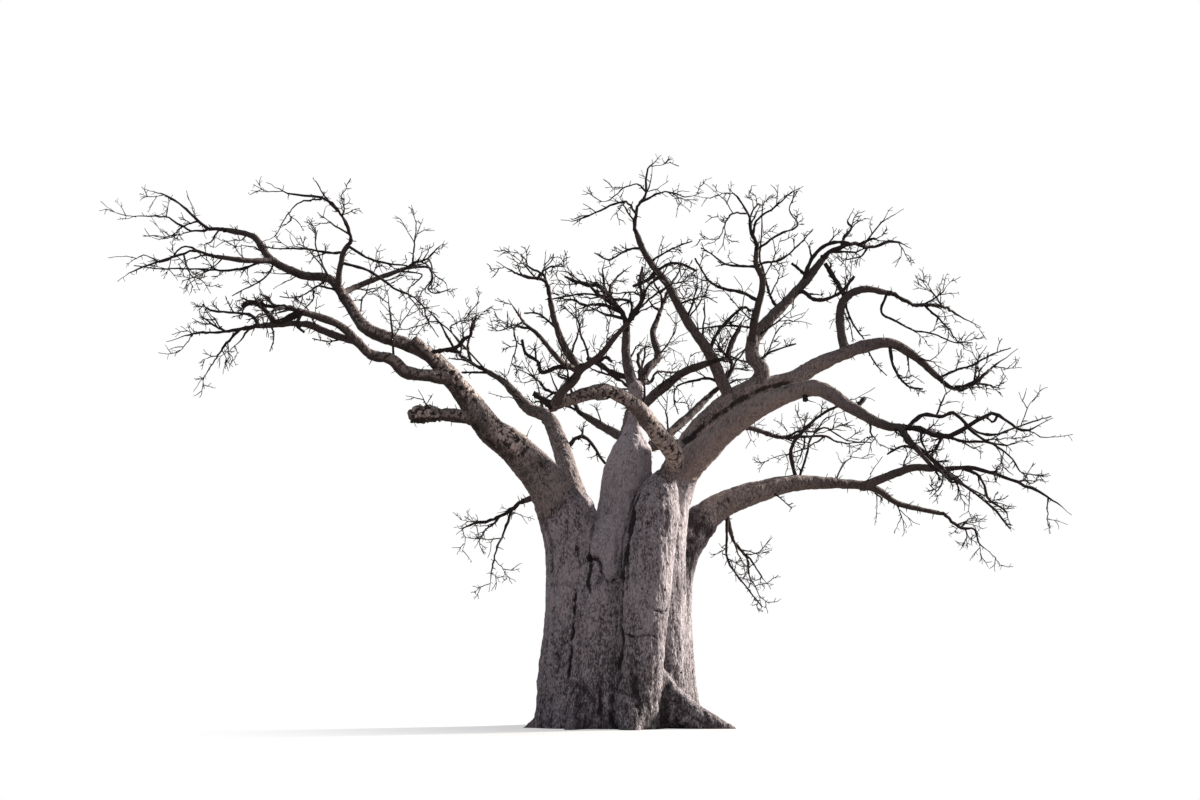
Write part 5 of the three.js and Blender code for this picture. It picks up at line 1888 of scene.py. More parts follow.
@dataclass
class Relief:
    """How far the bark stands out from the smooth form, and how light it is there.

    Heights are in metres. A shade runs from 0 in the cracks to 1 on the crests: it is painted into
    the bark's colour as shade in cracks, hollows and creases and as light on crests, with paler and
    darker tones besides.
    """

    form: BarkField
    swell: float = 0.035
    fold: float = 0.024
    grain: float = 0.017
    pit_depth: float = 0.024
    wart: float = 0.02
    wrinkle: float = 0.022
    least_wrinkle: float = 0.005
    crackle_depth: float = 0.026
    flap_rise: float = 0.05
    flap_rough: float = 0.02
    flap_edge: float = 0.04
    knob: float = 0.17
    full_girth: float = 0.35
    knob_girth: tuple[float, float] = (0.26, 0.14)
    collar_girth: tuple[float, float] = (0.24, 0.34)
    collar_reach: tuple[float, float] = (1.7, 0.5)
    seam_width: float = 0.06
    shade_of_height: float = 17
    shade_of_burl: float = 7
    pale_high: tuple[float, float] = (2.0, 4.8)
    dark_low: tuple[float, float] = (2.6, 0.2)
    lift_high: float = 0.33
    drop_low: float = 0.32
    painted_under_shade: float = 0.32
    painted_fork_shadow: float = 0.5
    broad: Layer = Layer(0.8, 11, (1, 1, 0.35))
    bend_across: Layer = Layer(0.3, 17)
    bend_back: Layer = Layer(0.3, 19)
    folds: Layer = Layer(0.26, 23, (1, 1, 0.13))
    streaks: Layer = Layer(0.11, 29, (1, 1, 0.16))
    limb_folds: Layer = Layer(0.14, 31, (0.3, 1, 1))
    wrinkles: Layer = Layer(0.13, 37, (1, 0.3, 0.3))
    fine: Layer = Layer(0.1, 41, (1, 1, 0.6))
    ragged: Layer = Layer(0.07, 47)
    knobs: Layer = Layer(0.2, 97)
    pits: Scatter = Scatter(0.26, 53, 0.5, 0.09, (0.05, 0.2), (1, 1, 1.5))
    warts: Scatter = Scatter(0.3, 67, 0.4, 0.08, (0.03, 0.22))
    plate_size: float = 0.17
    plate_shape: tuple[float, float, float] = (1.3, 0.7, 0.7)
    lump_size: float = 0.15

    def at(self, points: Array, skin: Skin) -> tuple[Array, Array, Array]:
        """Reads the relief.

        Args:
            points: The points on the smooth form.
            skin: What the field says of them.

        Returns:
            The distance outwards, the painted shade, and how much of the outer bark has peeled off,
            from 0 to 1; the peeled patches keep to the side towards the light, where their pale
            bark also stands in for sunlight.
        """
        is_limb = skin.pick([tube.is_limb for tube in self.form.tubes]).astype(float)
        girth = skin.radius
        strength = np.clip(girth / self.full_girth, 0.12, 1) ** 0.8
        limb_space = skin.limb_space()
        broad = self.swell * self.broad.at(points) * strength
        trunk_folds = self.trunk_folds(points)
        limb_folds = self.fold * self.limb_folds.ridges(limb_space) * 0.6 * strength
        wrinkles = self.wrinkles.ridges(limb_space)
        collar = ramp(skin.along, *self.collar_reach) * ramp(girth, *self.collar_girth)
        wrinkles *= self.least_wrinkle * strength + self.wrinkle * collar
        grain = self.grain * self.fine.at(points) * (0.35 + 0.65 * strength)
        ragged = self.ragged.at(points)
        pits = -self.pit_depth * self.pits.at(points, ragged) * strength
        warts = self.wart * self.warts.at(points, ragged) * strength**0.5
        crackle, peeled, under = self.crackle(points, skin, limb_space)
        knobs = self.knob * girth * self.knobs.at(limb_space) * is_limb
        knobs *= ramp(girth, *self.knob_girth)
        local = trunk_folds * (1 - is_limb) + (limb_folds + wrinkles) * is_limb
        local *= ramp(skin.seam, 0, self.seam_width)
        # The front's cracks and lips, and on the parting boughs the crease with its painted shade
        parting = skin.pick([name in PARTING_BOUGHS for name in self.form.names()])
        cut = self.cracks(points, skin) * np.maximum(1 - is_limb, parting)
        burl = self.burl(skin, limb_space)
        total = broad + knobs + local + grain + pits + warts + crackle + cut + burl
        # Painted shade: the relief darkens cracks, pits and hollows and lightens crests in the
        # colour, as shade and light would
        seen_height = local + grain + pits * 1.5 + warts * 0.5 + crackle * 2.4 + cut
        shade = 0.5 + seen_height * self.shade_of_height + burl * self.shade_of_burl
        # Tones, with the painted shadow in the fork and painted shade on the flaky limbs' side away
        # from the light
        shade += self.tone(points, skin, is_limb) - self.painted_under_shade * under
        return total, np.clip(shade, 0, 1), peeled

    def trunk_folds(self, points: Array) -> Array:
        """The long upright folds of the trunk and the streaks between them.

        Args:
            points: Rows of x, y, z.

        Returns:
            How far they stand out at each point.
        """
        wander = [self.bend_across.at(points), self.bend_back.at(points), 0 * points[:, 2]]
        bent = points + 0.05 * np.column_stack(wander)
        return self.fold * (0.7 * self.folds.ridges(bent) + 0.45 * self.streaks.ridges(bent))

    def tone(self, points: Array, skin: Skin, is_limb: Array) -> Array:
        """How much paler or darker than the rest a stem, a limb or a place is, with the painted
        shadow in the fork under the right low bough.

        Args:
            points: Rows of x, y, z.
            skin: What the field says of them.
            is_limb: 1 on a limb and 0 on the trunk, for each point.

        Returns:
            What is added to the shade.
        """
        height = points[:, 2]
        base, base_tone = limb_bases(points)
        lift = self.lift_high * ramp(height, *self.pale_high)
        lift -= self.drop_low * ramp(height, *self.dark_low)
        tones = [STEM_TONES.get(name, 0.0) for name in STEMS]
        tones += [LIMB_TONES.get(name, 0.0) for name in self.form.names()[len(STEMS):]]
        own = skin.pick(tones) + base_tone * base * (1 - is_limb)
        # Painted shadow: the right low bough's shadow on the right rear stem and on the bough's own
        # root
        from_fork = np.linalg.norm(points - placed((FORK_SHADOW_MIDDLE,))[0], axis=1)
        behind = [list(STEMS).index("right_rear"), self.form.names().index("right_low_bough")]
        fork = self.painted_fork_shadow * ramp(from_fork, *FORK_SHADOW_REACH) * np.isin(skin.tube, behind)
        return lift * (1 - is_limb) * (1 - base) + own - fork

    def crackle(
        self, points: Array, skin: Skin, limb_space: Array
    ) -> tuple[Array, Array, Array]:
        """The cracks of the boughs' flaky patches.

        Args:
            points: The points on the smooth form.
            skin: What the field says of them.
            limb_space: The points unrolled along and round their limbs.

        Returns:
            How far each point stands out, as a number below 0 in a crack, how much of the outer
            bark has peeled off there, on the side towards the light, where its pale bark also
            stands in for sunlight, and how far it lies on the limb's other side, which gets painted
            shade.
        """
        flakes = [FLAKY_LIMBS.get(name, NO_FLAKES) for name in self.form.names()]
        start = skin.pick([each.start for each in flakes])
        side = skin.pick([each.side for each in flakes])
        flaky = ramp(np.where(np.isfinite(start), skin.along - start, -1.0), 0, 0.5)
        facing = np.einsum("ij,ij->i", skin.slope, side) + 0.25 * Layer(0.25, 131).at(points)
        upper = ramp(facing, -0.15, 0.15)
        patch = flaky * upper * ramp(Layer(0.8, 101).at(points), -0.45, -0.05)
        bent = limb_space + 0.05 * Layer(0.1, 103).at(limb_space)[:, None]
        border = edges_of_cells(bent * self.plate_shape / self.plate_size, 107)
        border += 0.2 * Layer(0.07, 109).at(points)
        crack = (1 - ramp(border, -0.02, 0.13)) * patch * ramp(skin.radius, 0.05, 0.15)
        # The peeled patch keeps to the side towards the light, where its pale bark also stands in
        # for sunlight; the other side gets painted shade
        return -self.crackle_depth * crack, patch * (1 - crack), flaky * (1 - upper)

    def cracks(self, points: Array, skin: Skin) -> Array:
        """How far the front's lips stand out and its cracks cut in.

        Args:
            points: The points on the smooth form.
            skin: What the field says of them.

        Returns:
            The distance outwards for each point.
        """
        faces_front = ramp(-skin.slope[:, 1], 0.05, 0.3)
        near = np.flatnonzero(faces_front > 0)
        front = points[near]
        across, up = seen(front)
        wander = 0.05 * noise(front / 0.3, 71) + 0.022 * Layer(0.09, 73).at(front)
        spots = np.column_stack([across + wander, up + np.roll(wander, 1)])
        uneven = 0.55 + 0.6 * Layer(0.16, 79).at(front)
        rise = np.zeros(len(near))
        for mark in FRONT_MARKS:
            gap, share = mark.nearest(spots)
            ends = ramp(np.minimum(share, 1 - share), -0.02, 0.1)
            depth = mark.rise * np.clip(uneven + 0.25, 0.2, 1.1) * ends
            wide = mark.width * np.clip(0.6 + uneven, 0.7, 1.4)
            rise += depth * (1 - ramp(gap, 0.2 * mark.width, wide))
        inside_flap = depth_in(FLAP, spots) + 0.03 * Layer(0.12, 113).at(front)
        flap = ramp(inside_flap, 0, self.flap_edge)
        rise += flap * (self.flap_rise + self.flap_rough * Layer(0.13, 127, (1, 1, 0.6)).at(front))
        total = np.zeros(len(points))
        total[near] = rise
        return total * faces_front

    def burl(self, skin: Skin, limb_space: Array) -> Array:
        """The lumps of the burl at the dead stub's end.

        Args:
            skin: What the field says of each point.
            limb_space: The points unrolled along and round their limbs.

        Returns:
            How far the lumps stand out at each point.
        """
        stub = self.form.names().index("left_burl_stub")
        on_stub = (skin.tube == stub) * ramp(skin.along, 0.75, 1.1)
        lumps = np.minimum(edges_of_cells(limb_space / self.lump_size, 83), 0.7)
        return on_stub * (0.13 * lumps - 0.04 + 0.03 * Layer(0.2, 89).at(limb_space))


@dataclass
class Bark:
    """Trunk and boughs in one skin, with the bark's relief, parted into pieces."""

    voxel: float = 0.028
    quick_voxel: float = 1.6
    passes: int = 3
    rear_from: float = 0.25
    foot_reach: tuple[float, float] = (2.6, 0.5)
    form: BarkField = field(init=False)

    def __post_init__(self) -> None:
        """Gathers every stem, root and limb."""
        tubes = [stem_tube(stem, STEM_FINENESS) for stem in STEMS.values()]
        tubes += [stem_tube(root, ROOT_FINENESS) for root in ROOTS]
        self.form = BarkField(tubes + [limb_tube(name, limb) for name, limb in LIMBS.items()])

    def build(self, finishes: dict[str, bpy.types.Material]) -> None:
        """Builds the bark's pieces in place of the trunk's and the boughs' nodes.

        Args:
            finishes: The materials by the record's slot.
        """
        mesh = self.rough_skin()
        points = read_points(mesh)
        for _ in range(self.passes):
            skin = self.form.at(points)
            points = points - skin.slope * skin.gap[:, None]
        write_points(mesh, points)
        cut_flat(mesh)
        points = read_points(mesh)
        skin = self.form.at(points)
        relief, shade, peeled = Relief(self.form).at(points, skin)
        standing = points[:, 2] > 1e-4
        normals = skin.slope.copy()
        normals[~standing, 2] = 0
        points = points + normals * relief[:, None]
        points[:, 2] = np.where(standing, np.maximum(points[:, 2], 0.001), 0)
        write_points(mesh, points)
        on_trunk = [name in LIMBS and LIMBS[name].carrier == "trunk" for name in self.form.names()]
        foot = ramp(skin.along, *self.foot_reach) * skin.pick(on_trunk)
        # shade carries the painted shade and light with the tones; peeled carries the pale patches,
        # which also stand in for sunlight
        values = {"shade": shade, "girth": skin.radius, "peeled": peeled, "foot": foot}
        self.part(mesh, self.region_numbers(points, skin, largest_part(mesh)), values, finishes)

    def rough_skin(self) -> bpy.types.Mesh:
        """One closed mesh of even quads round all tubes.

        Returns:
            The new mesh.
        """
        points, faces = joined([tube.rounded() for tube in self.form.tubes])
        whole = added("bark", mesh_of("bark", points, faces.ravel(), np.full(len(faces), 3)))
        remesh = whole.modifiers.new("skin", "REMESH")
        remesh.mode = "VOXEL"
        remesh.voxel_size = self.voxel * 1
        evaluated = whole.evaluated_get(bpy.context.evaluated_depsgraph_get())
        even = bpy.data.meshes.new_from_object(evaluated)
        bpy.data.objects.remove(whole)
        return even

    def region_numbers(self, points: Array, skin: Skin, whole: Array) -> Array:
        """The piece that each point belongs to.

        Args:
            points: Rows of x, y, z.
            skin: What the field says of them.
            whole: Which points belong to the largest connected part.

        Returns:
            The piece's number, or -1 for a point that is left out.
        """
        regions = list(Region)
        numbers = [regions.index(Region.of_tube(name)) for name in self.form.names()]
        of_point = skin.pick(numbers)
        behind = (of_point == regions.index(Region.TRUNK_FRONT)) & (points[:, 1] > self.rear_from)
        of_point = np.where(behind, regions.index(Region.TRUNK_REAR), of_point)
        return np.where(whole, of_point, -1)

    def part(
        self,
        mesh: bpy.types.Mesh,
        of_point: Array,
        values: dict[str, Array],
        finishes: dict[str, bpy.types.Material],
    ) -> None:
        """Parts the skin into pieces that keep its whole normals.

        Args:
            mesh: The whole skin.
            of_point: The number of each point's piece.
            values: What the materials read at each point, by name.
            finishes: The materials by the record's slot.
        """
        points = read_points(mesh)
        corners = np.empty(len(mesh.loops), np.int32)
        mesh.loops.foreach_get("vertex_index", corners)
        sizes = np.empty(len(mesh.polygons), np.int32)
        mesh.polygons.foreach_get("loop_total", sizes)
        normals = np.empty(len(mesh.vertices) * 3, np.float32)
        mesh.vertex_normals.foreach_get("vector", normals)
        normals = normals.reshape(-1, 3)
        starts = np.concatenate([[0], np.cumsum(sizes)[:-1]])
        of_face = of_point[corners[starts]]
        for number, region in enumerate(Region):
            taken = np.repeat(of_face == number, sizes)
            used, local = np.unique(corners[taken], return_inverse=True)
            piece_mesh = mesh_of(region.value, points[used], local, sizes[of_face == number])
            for label, each in values.items():
                layer = piece_mesh.attributes.new(label, "FLOAT", "POINT")
                layer.data.foreach_set("value", each[used].astype(np.float32))
            piece_mesh.normals_split_custom_set_from_vertices(normals[used].tolist())
            slot = "trunk_bark" if region.is_trunk else "bough_bark"
            boughs = {name for name in self.form.names() if Region.of_tube(name) is region}
            nodes = ["trunk"] if region.is_trunk else sorted(boughs)
            dress(region.value, piece_mesh, finishes[slot], nodes)
        bpy.data.meshes.remove(mesh)


def cut_flat(mesh: bpy.types.Mesh) -> None:
    """Cuts a mesh flat at the ground and closes the cut.

    Args:
        mesh: The mesh.
    """
    work = bmesh.new()
    work.from_mesh(mesh)
    cut = bmesh.ops.bisect_plane(
        work,
        geom=work.verts[:] + work.edges[:] + work.faces[:],
        plane_co=(0, 0, 0),
        plane_no=(0, 0, -1),
        clear_outer=True,
        dist=1e-5,
    )
    rim = [item for item in cut["geom_cut"] if isinstance(item, bmesh.types.BMEdge)]
    bmesh.ops.holes_fill(work, edges=rim, sides=0)
    work.to_mesh(mesh)
    work.free()


def largest_part(mesh: bpy.types.Mesh) -> Array:
    """Marks the points of a mesh's largest connected part.

    Args:
        mesh: The mesh.

    Returns:
        True for each point of that part.
    """
    edges = np.empty(len(mesh.edges) * 2, np.int32)
    mesh.edges.foreach_get("vertices", edges)
    label = islands(len(mesh.vertices), edges.reshape(-1, 2))
    return label == np.bincount(label).argmax()


def read_points(mesh: bpy.types.Mesh) -> Array:
    """Reads a mesh's points.

    Args:
        mesh: The mesh.

    Returns:
        Rows of x, y, z.
    """
    flat = np.empty(len(mesh.vertices) * 3)
    mesh.vertices.foreach_get("co", flat)
    return flat.reshape(-1, 3)


def write_points(mesh: bpy.types.Mesh, points: Array) -> None:
    """Moves a mesh's points."""
    mesh.vertices.foreach_set("co", points.astype(np.float32).ravel())
    mesh.update()


def new_group(name: str, inputs: dict[str, float], outputs: tuple[str, ...]) -> Tree:
    """An empty shader node group.

    Args:
        name: Its name.
        inputs: Its number inputs with their standard values.
        outputs: Its number outputs.

    Returns:
        The group, with its input and output nodes.
    """
    group = bpy.data.node_groups.new(name, "ShaderNodeTree")
    for label, value in inputs.items():
        socket = group.interface.new_socket(label, in_out="INPUT", socket_type="NodeSocketFloat")
        socket.default_value = value
    for label in outputs:
        group.interface.new_socket(label, in_out="OUTPUT", socket_type="NodeSocketFloat")
    group.nodes.new("NodeGroupInput")
    group.nodes.new("NodeGroupOutput")
    return group


def calculate(
    tree: Tree, operation: str, a: Value, b: Value = 0.0, c: Value = 0.0
) -> Socket:
    """A Math node.

    Args:
        tree: The node tree.
        operation: The Math node's operation.
        a: The first value.
        b: The second value.
        c: The third value.

    Returns:
        The result's socket.
    """
    node = tree.nodes.new("ShaderNodeMath")
    node.operation = operation
    for socket, value in zip(node.inputs, (a, b, c)):
        if isinstance(value, (int, float)):
            socket.default_value = value
        else:
            tree.links.new(value, socket)
    return node.outputs[0]


def limited(tree: Tree, value: Value, most: float) -> Socket:
    """A value kept between 0 and a limit."""
    return calculate(tree, "MINIMUM", calculate(tree, "MAXIMUM", value, 0.0), most)


def blended(
    tree: Tree,
    amount: Socket,
    under: Colour | Socket,
    over: Colour | Socket,
) -> Socket:
    """A colour mix.

    Args:
        tree: The node tree.
        amount: How much of the second colour shows.
        under: The first colour.
        over: The second colour.

    Returns:
        The mixed colour's socket.
    """
    node = tree.nodes.new("ShaderNodeMix")
    node.data_type = "RGBA"
    tree.links.new(amount, node.inputs[0])
    for socket, value in ((node.inputs[6], under), (node.inputs[7], over)):
        if isinstance(value, tuple):
            socket.default_value = (*value, 1)
        else:
            tree.links.new(value, socket)
    return node.outputs[2]


def mixed(
    tree: Tree,
    amount: Socket,
    under: Socket,
    over: Socket,
) -> Socket:
    """A mix of two surfaces or two lights.

    Args:
        tree: The node tree.
        amount: How much of the second one shows.
        under: The first one.
        over: The second one.

    Returns:
        The mix's socket.
    """
    node = tree.nodes.new("ShaderNodeMixShader")
    for socket, source in zip(node.inputs, (amount, under, over)):
        tree.links.new(source, socket)
    return node.outputs[0]


def seen_directly(tree: Tree) -> Socket:
    """1 for what the camera sees directly, 0 for the light that falls on other things."""
    return tree.nodes.new("ShaderNodeLightPath").outputs["Is Camera Ray"]


def point_value(tree: Tree, name: str) -> Socket:
    """What a piece's points say under a name.

    Args:
        tree: The node tree.
        name: The name of the points' value.

    Returns:
        The value's socket.
    """
    node = tree.nodes.new("ShaderNodeAttribute")
    node.attribute_name = name
    return node.outputs["Fac"]


def new_material(
    name: str, roughness: float, gloss: float
) -> tuple[bpy.types.Material, Tree, bpy.types.Node]:
    """A plain material.

    Args:
        name: Its name.
        roughness: How rough its surface is.
        gloss: How much of the light it throws straight back.

    Returns:
        The material, its node tree and its surface node.
    """
    material = bpy.data.materials.new(name)
    material.use_nodes = True
    surface = material.node_tree.nodes["Principled BSDF"]
    surface.inputs["Roughness"].default_value = roughness
    surface.inputs["Specular IOR Level"].default_value = gloss
    return material, material.node_tree, surface


def grained(
    tree: Tree, surface: bpy.types.Node, group: Tree, strength: float, distance: float
) -> bpy.types.Node:
    """Gives a surface the shared grain as a bump.

    Args:
        tree: The material's node tree.
        surface: Its surface node.
        group: The shared grain group.
        strength: How strongly the bump shows.
        distance: How high it is.

    Returns:
        The grain's node.
    """
    pattern = tree.nodes.new("ShaderNodeGroup")
    pattern.node_tree = group
    bump = tree.nodes.new("ShaderNodeBump")
    bump.inputs["Strength"].default_value = strength
    bump.inputs["Distance"].default_value = distance
    tree.links.new(pattern.outputs["Height"], bump.inputs["Height"])
    tree.links.new(bump.outputs["Normal"], surface.inputs["Normal"])
    return pattern


@dataclass
class BarkGrain:
    """The fine grain and the blotches that all barks share, as one shader group.

    Its inputs are the scale and the stretch. Its outputs are a height and masks of pale specks,
    of dark pits and of blotches.
    """

    fine_scale: float = 44
    fleck_scale: float = 27
    coarse_scale: float = 9
    blotch_scale: float = 1.3
    pebble_scale: float = 21
    most_pebble: float = 0.55
    fine_height: float = 0.3
    fleck_height: float = 0.6
    pebble_height: float = -0.45
    specks: tuple[float, float] = (0.78, 0.92)
    pits: tuple[float, float] = (1.12, 0.85)
    blotches: tuple[float, float] = (0.4, 0.65)
    group: Tree = field(init=False)

    def __post_init__(self) -> None:
        """Makes the empty group."""
        outputs = ("Height", "Specks", "Pits", "Blotches")
        self.group = new_group("bark_grain", {"Scale": 1.0, "Stretch": 0.4}, outputs)

    def build(self) -> Tree:
        """Fills the group.

        Returns:
            The finished group.
        """
        group = self.group
        scaled, squeezed = self.coordinates()
        fine = self.texture(self.fine_scale, 4, squeezed)
        flecks = self.texture(self.fleck_scale, 3, squeezed)
        coarse = self.texture(self.coarse_scale, 5, squeezed)
        cells = group.nodes.new("ShaderNodeTexVoronoi")
        cells.inputs["Scale"].default_value = self.pebble_scale
        group.links.new(squeezed, cells.inputs["Vector"])
        pebble = calculate(group, "MINIMUM", cells.outputs["Distance"], self.most_pebble)
        height = calculate(group, "MULTIPLY_ADD", fine, self.fine_height, coarse)
        height = calculate(group, "MULTIPLY_ADD", flecks, self.fleck_height, height)
        height = calculate(group, "MULTIPLY_ADD", pebble, self.pebble_height, height)
        group.links.new(height, group.nodes["Group Output"].inputs["Height"])
        bright = calculate(group, "MULTIPLY_ADD", flecks, 0.6, fine)
        hollows = calculate(group, "MULTIPLY_ADD", coarse, 0.4, flecks)
        self.masked(bright, self.specks, "Specks")
        self.masked(calculate(group, "MULTIPLY_ADD", fine, 0.7, hollows), self.pits, "Pits")
        self.masked(self.texture(self.blotch_scale, 4, scaled), self.blotches, "Blotches")
        return group

    def coordinates(self) -> tuple[Socket, Socket]:
        """The object's coordinates, scaled, and the same drawn out along the height.

        Returns:
            The two sockets.
        """
        nodes, links, given = self.group.nodes, self.group.links, self.group.nodes["Group Input"]
        scaled = nodes.new("ShaderNodeVectorMath")
        scaled.operation = "SCALE"
        links.new(nodes.new("ShaderNodeTexCoord").outputs["Object"], scaled.inputs[0])
        links.new(given.outputs["Scale"], scaled.inputs["Scale"])
        parts = nodes.new("ShaderNodeSeparateXYZ")
        links.new(scaled.outputs[0], parts.inputs[0])
        height = calculate(self.group, "MULTIPLY", parts.outputs[2], given.outputs["Stretch"])
        squeezed = nodes.new("ShaderNodeCombineXYZ")
        for socket, source in zip(squeezed.inputs, (parts.outputs[0], parts.outputs[1], height)):
            links.new(source, socket)
        return scaled.outputs[0], squeezed.outputs[0]

    def texture(
        self, scale: float, detail: float, source: Socket
    ) -> Socket:
        """One noise texture.

        Args:
            scale: How many bumps it has to a unit of length.
            detail: How much finer noise lies over it.
            source: Its coordinates.

        Returns:
            The socket of its value.
        """
        node = self.group.nodes.new("ShaderNodeTexNoise")
        node.inputs["Scale"].default_value = scale
        node.inputs["Detail"].default_value = detail
        self.group.links.new(source, node.inputs["Vector"])
        return node.outputs["Fac"]

    def masked(
        self, value: Socket, span: tuple[float, float], output: str
    ) -> None:
        """Gives an output 0 where a value is at the span's start and 1 where it is at its end.

        Args:
            value: The value.
            span: Where the mask starts and ends.
            output: The output's name.
        """
        node = self.group.nodes.new("ShaderNodeMapRange")
        node.inputs["From Min"].default_value, node.inputs["From Max"].default_value = span
        self.group.links.new(value, node.inputs["Value"])
        self.group.links.new(
            node.outputs["Result"], self.group.nodes["Group Output"].inputs[output]
        )


@dataclass(frozen=True)
class BarkFinish:
    """A bark's colours, from its crevices to its crests, and its roughness. The crevice colour is
    painted into cracks and hollows as shade, and also into the grain's dark pits; the crest colour
    is painted onto crests as light, and also into pale specks; the peeled colour also stands in for
    sunlight.
    """

    name: str
    crevice: Colour
    body: Colour
    crest: Colour
    blotch: Colour
    blotch_share: float
    thin: Colour
    peeled: Colour
    foot: Colour
    roughness: float = 0.88
    gloss: float = 0.25
    bump_strength: float = 0.9
    bump: float = 0.03
    dark_gain: float = 2.2
    light_gain: float = 1.6
    most_dark: float = 0.9
    most_light: float = 0.8
    speck_share: float = 0.8
    peeled_share: float = 0.92
    pit_share: float = 0.76
    pit_fade: float = -0.35
    slim_share: float = 1.55
    slim_fade: float = -7.0

    def material(self, grain: Tree) -> bpy.types.Material:
        """Makes the material.

        Args:
            grain: The shared grain group.

        Returns:
            The new material.
        """
        material, tree, surface = new_material(self.name, self.roughness, self.gloss)
        pattern = grained(tree, surface, grain, self.bump_strength, self.bump)
        # The painted shade: under 0.5 it paints in the crevice colour as shade, over 0.5 the crest
        # colour as light
        shade = point_value(tree, "shade")
        dark = calculate(tree, "SUBTRACT", 0.5, shade)
        dark = limited(tree, calculate(tree, "MULTIPLY", dark, self.dark_gain), self.most_dark)
        light = calculate(tree, "SUBTRACT", shade, 0.5)
        light = limited(tree, calculate(tree, "MULTIPLY", light, self.light_gain), self.most_light)
        girth = point_value(tree, "girth")
        slim = calculate(tree, "MULTIPLY_ADD", girth, self.slim_fade, self.slim_share)
        pitted = calculate(tree, "MULTIPLY_ADD", light, self.pit_fade, self.pit_share)
        specks = calculate(tree, "MULTIPLY", pattern.outputs["Specks"], self.speck_share)
        bare = calculate(tree, "MULTIPLY", point_value(tree, "peeled"), self.peeled_share)
        coats = (
            (point_value(tree, "foot"), self.foot),
            (light, self.crest),
            (specks, self.crest),
            (bare, self.peeled),
            (calculate(tree, "MULTIPLY", pattern.outputs["Pits"], pitted), self.crevice),
            (dark, self.crevice),
            (limited(tree, slim, self.most_dark), self.thin),
        )
        blotches = calculate(tree, "MULTIPLY", pattern.outputs["Blotches"], self.blotch_share)
        colour = blended(tree, blotches, self.body, self.blotch)
        for amount, coat in coats:
            colour = blended(tree, amount, colour, coat)
        tree.links.new(colour, surface.inputs["Base Color"])
        return material


@dataclass(frozen=True)
class TwigFinish:
    """The twigs' one dark colour, with grain in the bump alone."""

    name: str
    colour: Colour
    roughness: float = 0.9
    gloss: float = 0.2
    bump_strength: float = 0.7
    bump: float = 0.003
    grain_scale: float = 2.0

    def material(self, grain: Tree) -> bpy.types.Material:
        """Makes the material.

        Args:
            grain: The shared grain group.

        Returns:
            The new material.
        """
        material, tree, surface = new_material(self.name, self.roughness, self.gloss)
        surface.inputs["Base Color"].default_value = (*self.colour, 1)
        pattern = grained(tree, surface, grain, self.bump_strength, self.bump)
        pattern.inputs["Scale"].default_value = self.grain_scale
        return material


TRUNK_FINISH = BarkFinish(
    "trunk_bark",
    crevice=(0.025, 0.02, 0.019),
    body=(0.235, 0.21, 0.224),
    crest=(0.6, 0.54, 0.55),
    blotch=(0.15, 0.13, 0.138),
    blotch_share=0.6,
    thin=(0.2, 0.17, 0.165),
    peeled=(0.4, 0.34, 0.31),
    foot=(0.21, 0.187, 0.198),
)
BOUGH_FINISH = BarkFinish(
    "bough_bark",
    crevice=(0.03, 0.024, 0.022),
    body=(0.25, 0.214, 0.216),
    crest=(0.46, 0.38, 0.345),
    blotch=(0.3, 0.24, 0.2),
    blotch_share=0.5,
    thin=(0.075, 0.06, 0.056),
    # Pale peeled bark, bright enough to also stand in for sunlight on the flaky patches
    peeled=(0.9, 0.75, 0.67),
    foot=(0.21, 0.187, 0.198),
)
TWIG_FINISH = TwigFinish("twig_bark", (0.045, 0.036, 0.034))


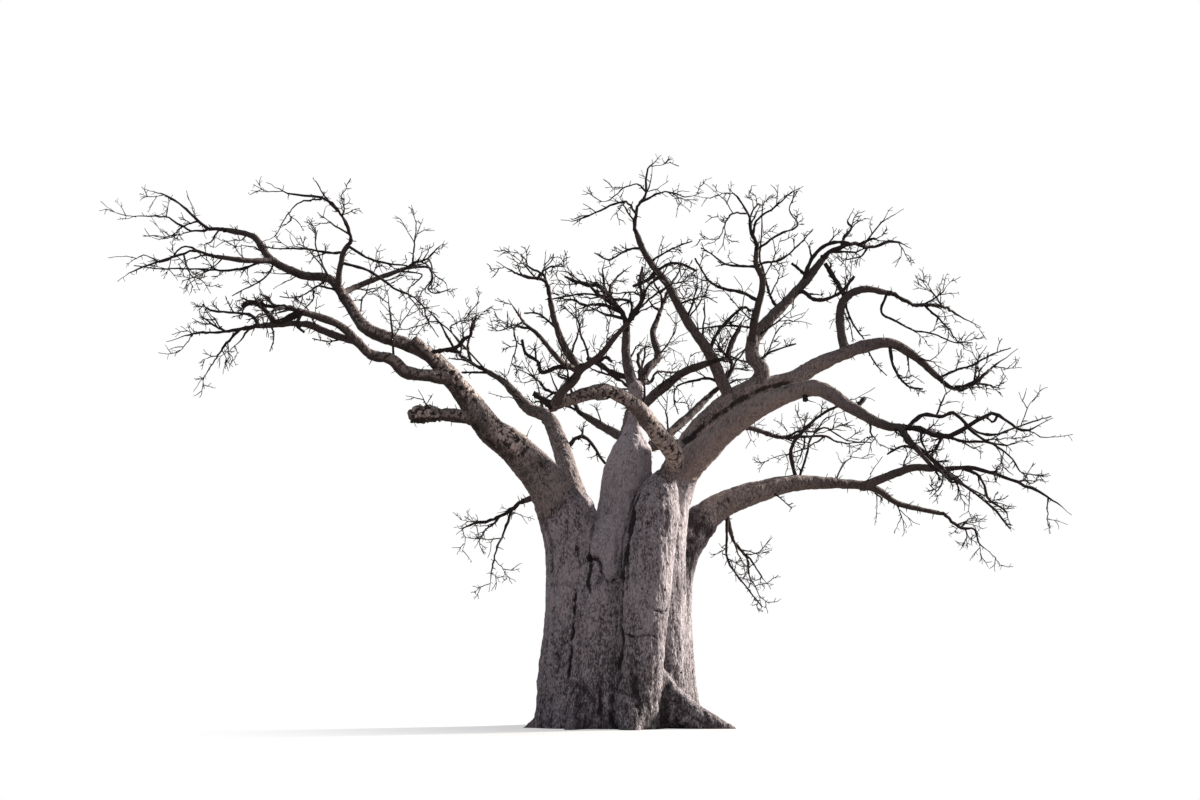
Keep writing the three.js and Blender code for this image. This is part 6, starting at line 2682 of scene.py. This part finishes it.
@dataclass
class Studio:
    """A pale floor, a soft low key from the right, the sky's light and the camera."""

    floor_radius: float = 400.0
    floor_colour: Colour = (0.8, 0.78, 0.76)
    floor_bounce: Colour = (0.2, 0.175, 0.168)
    glow_reach: tuple[float, float] = (1.0, 11.0)
    least_glow: float = 0.5
    lens: float = 55.88
    film_width: float = 36
    tilt: float = 7.794
    clip_end: float = 2000
    key_strength: float = 9.5
    key_angle: float = 5.0
    key_colour: Colour = (1.0, 0.93, 0.86)
    key_from: tuple[float, float, float] = (0.78, 0.4, 0.4)
    sky_strength: float = 0.34
    sky_colour: Colour = (0.87, 0.88, 1.0)

    def build(self) -> None:
        """Builds the floor, the lights and the camera."""
        bpy.context.scene.view_settings.view_transform = "Standard"
        self.camera()
        self.sky()
        self.key()
        self.floor()

    def camera(self) -> None:
        """Puts the camera where the photo was taken from."""
        data = bpy.data.cameras.new("camera")
        data.lens = self.lens
        data.sensor_width = self.film_width
        data.clip_end = self.clip_end
        camera = added("camera", data)
        camera.location = tuple(EYE)
        camera.rotation_euler = (np.radians(90 + self.tilt), 0, 0)
        bpy.context.scene.camera = camera

    def sky(self) -> None:
        """Lights the tree evenly from all sides, and shows white behind it."""
        world = bpy.data.worlds.new("sky")
        bpy.context.scene.world = world
        world.use_nodes = True
        tree = world.node_tree
        soft = tree.nodes["Background"]
        soft.inputs["Color"].default_value = (*self.sky_colour, 1)
        soft.inputs["Strength"].default_value = self.sky_strength
        white = tree.nodes.new("ShaderNodeBackground")
        white.inputs["Color"].default_value = (1, 1, 1, 1)
        light = mixed(tree, seen_directly(tree), soft.outputs[0], white.outputs[0])
        tree.links.new(light, tree.nodes["World Output"].inputs["Surface"])

    def key(self) -> None:
        """A soft warm sun from the right and a little behind."""
        data = bpy.data.lights.new("key", "SUN")
        data.energy = self.key_strength
        data.angle = np.radians(self.key_angle)
        data.color = self.key_colour
        key = added("key", data)
        key.rotation_mode = "QUATERNION"
        key.rotation_quaternion = Vector(self.key_from).to_track_quat("Z", "Y")

    def floor(self) -> None:
        """A pale floor that turns into the white background far out."""
        mesh = bpy.data.meshes.new("floor")
        work = bmesh.new()
        bmesh.ops.create_circle(work, cap_ends=True, segments=96, radius=self.floor_radius)
        work.to_mesh(mesh)
        work.free()
        mesh.materials.append(self.floor_material())
        added("floor", mesh)

    def floor_material(self) -> bpy.types.Material:
        """The floor's material: white far out, and darker where it lights the tree.

        Returns:
            The new material.
        """
        material, tree, surface = new_material("floor", 0.95, 0.0)
        surface.inputs["Base Color"].default_value = (*self.floor_colour, 1)
        length = tree.nodes.new("ShaderNodeVectorMath")
        length.operation = "LENGTH"
        place = tree.nodes.new("ShaderNodeTexCoord").outputs["Object"]
        tree.links.new(place, length.inputs[0])
        reach = tree.nodes.new("ShaderNodeMapRange")
        reach.interpolation_type = "SMOOTHSTEP"
        reach.inputs["From Min"].default_value = self.glow_reach[0]
        reach.inputs["From Max"].default_value = self.glow_reach[1]
        reach.inputs["To Min"].default_value = self.least_glow
        tree.links.new(length.outputs["Value"], reach.inputs["Value"])
        glow = tree.nodes.new("ShaderNodeEmission").outputs[0]
        bounce = tree.nodes.new("ShaderNodeBsdfDiffuse")
        bounce.inputs["Color"].default_value = (*self.floor_bounce, 1)
        pale = mixed(tree, reach.outputs["Result"], surface.outputs[0], glow)
        shown = mixed(tree, seen_directly(tree), bounce.outputs[0], pale)
        tree.links.new(shown, tree.nodes["Material Output"].inputs["Surface"])
        return material


def main() -> None:
    """Builds the studio, the bark and the twigs."""
    logging.basicConfig(level=logging.INFO, format="%(message)s")
    Studio().build()
    grain = BarkGrain().build()
    Bark().build({
        "trunk_bark": TRUNK_FINISH.material(grain), "bough_bark": BOUGH_FINISH.material(grain)
    })
    Crown().build(TWIG_FINISH.material(grain))


if __name__ == "__main__":
    main()
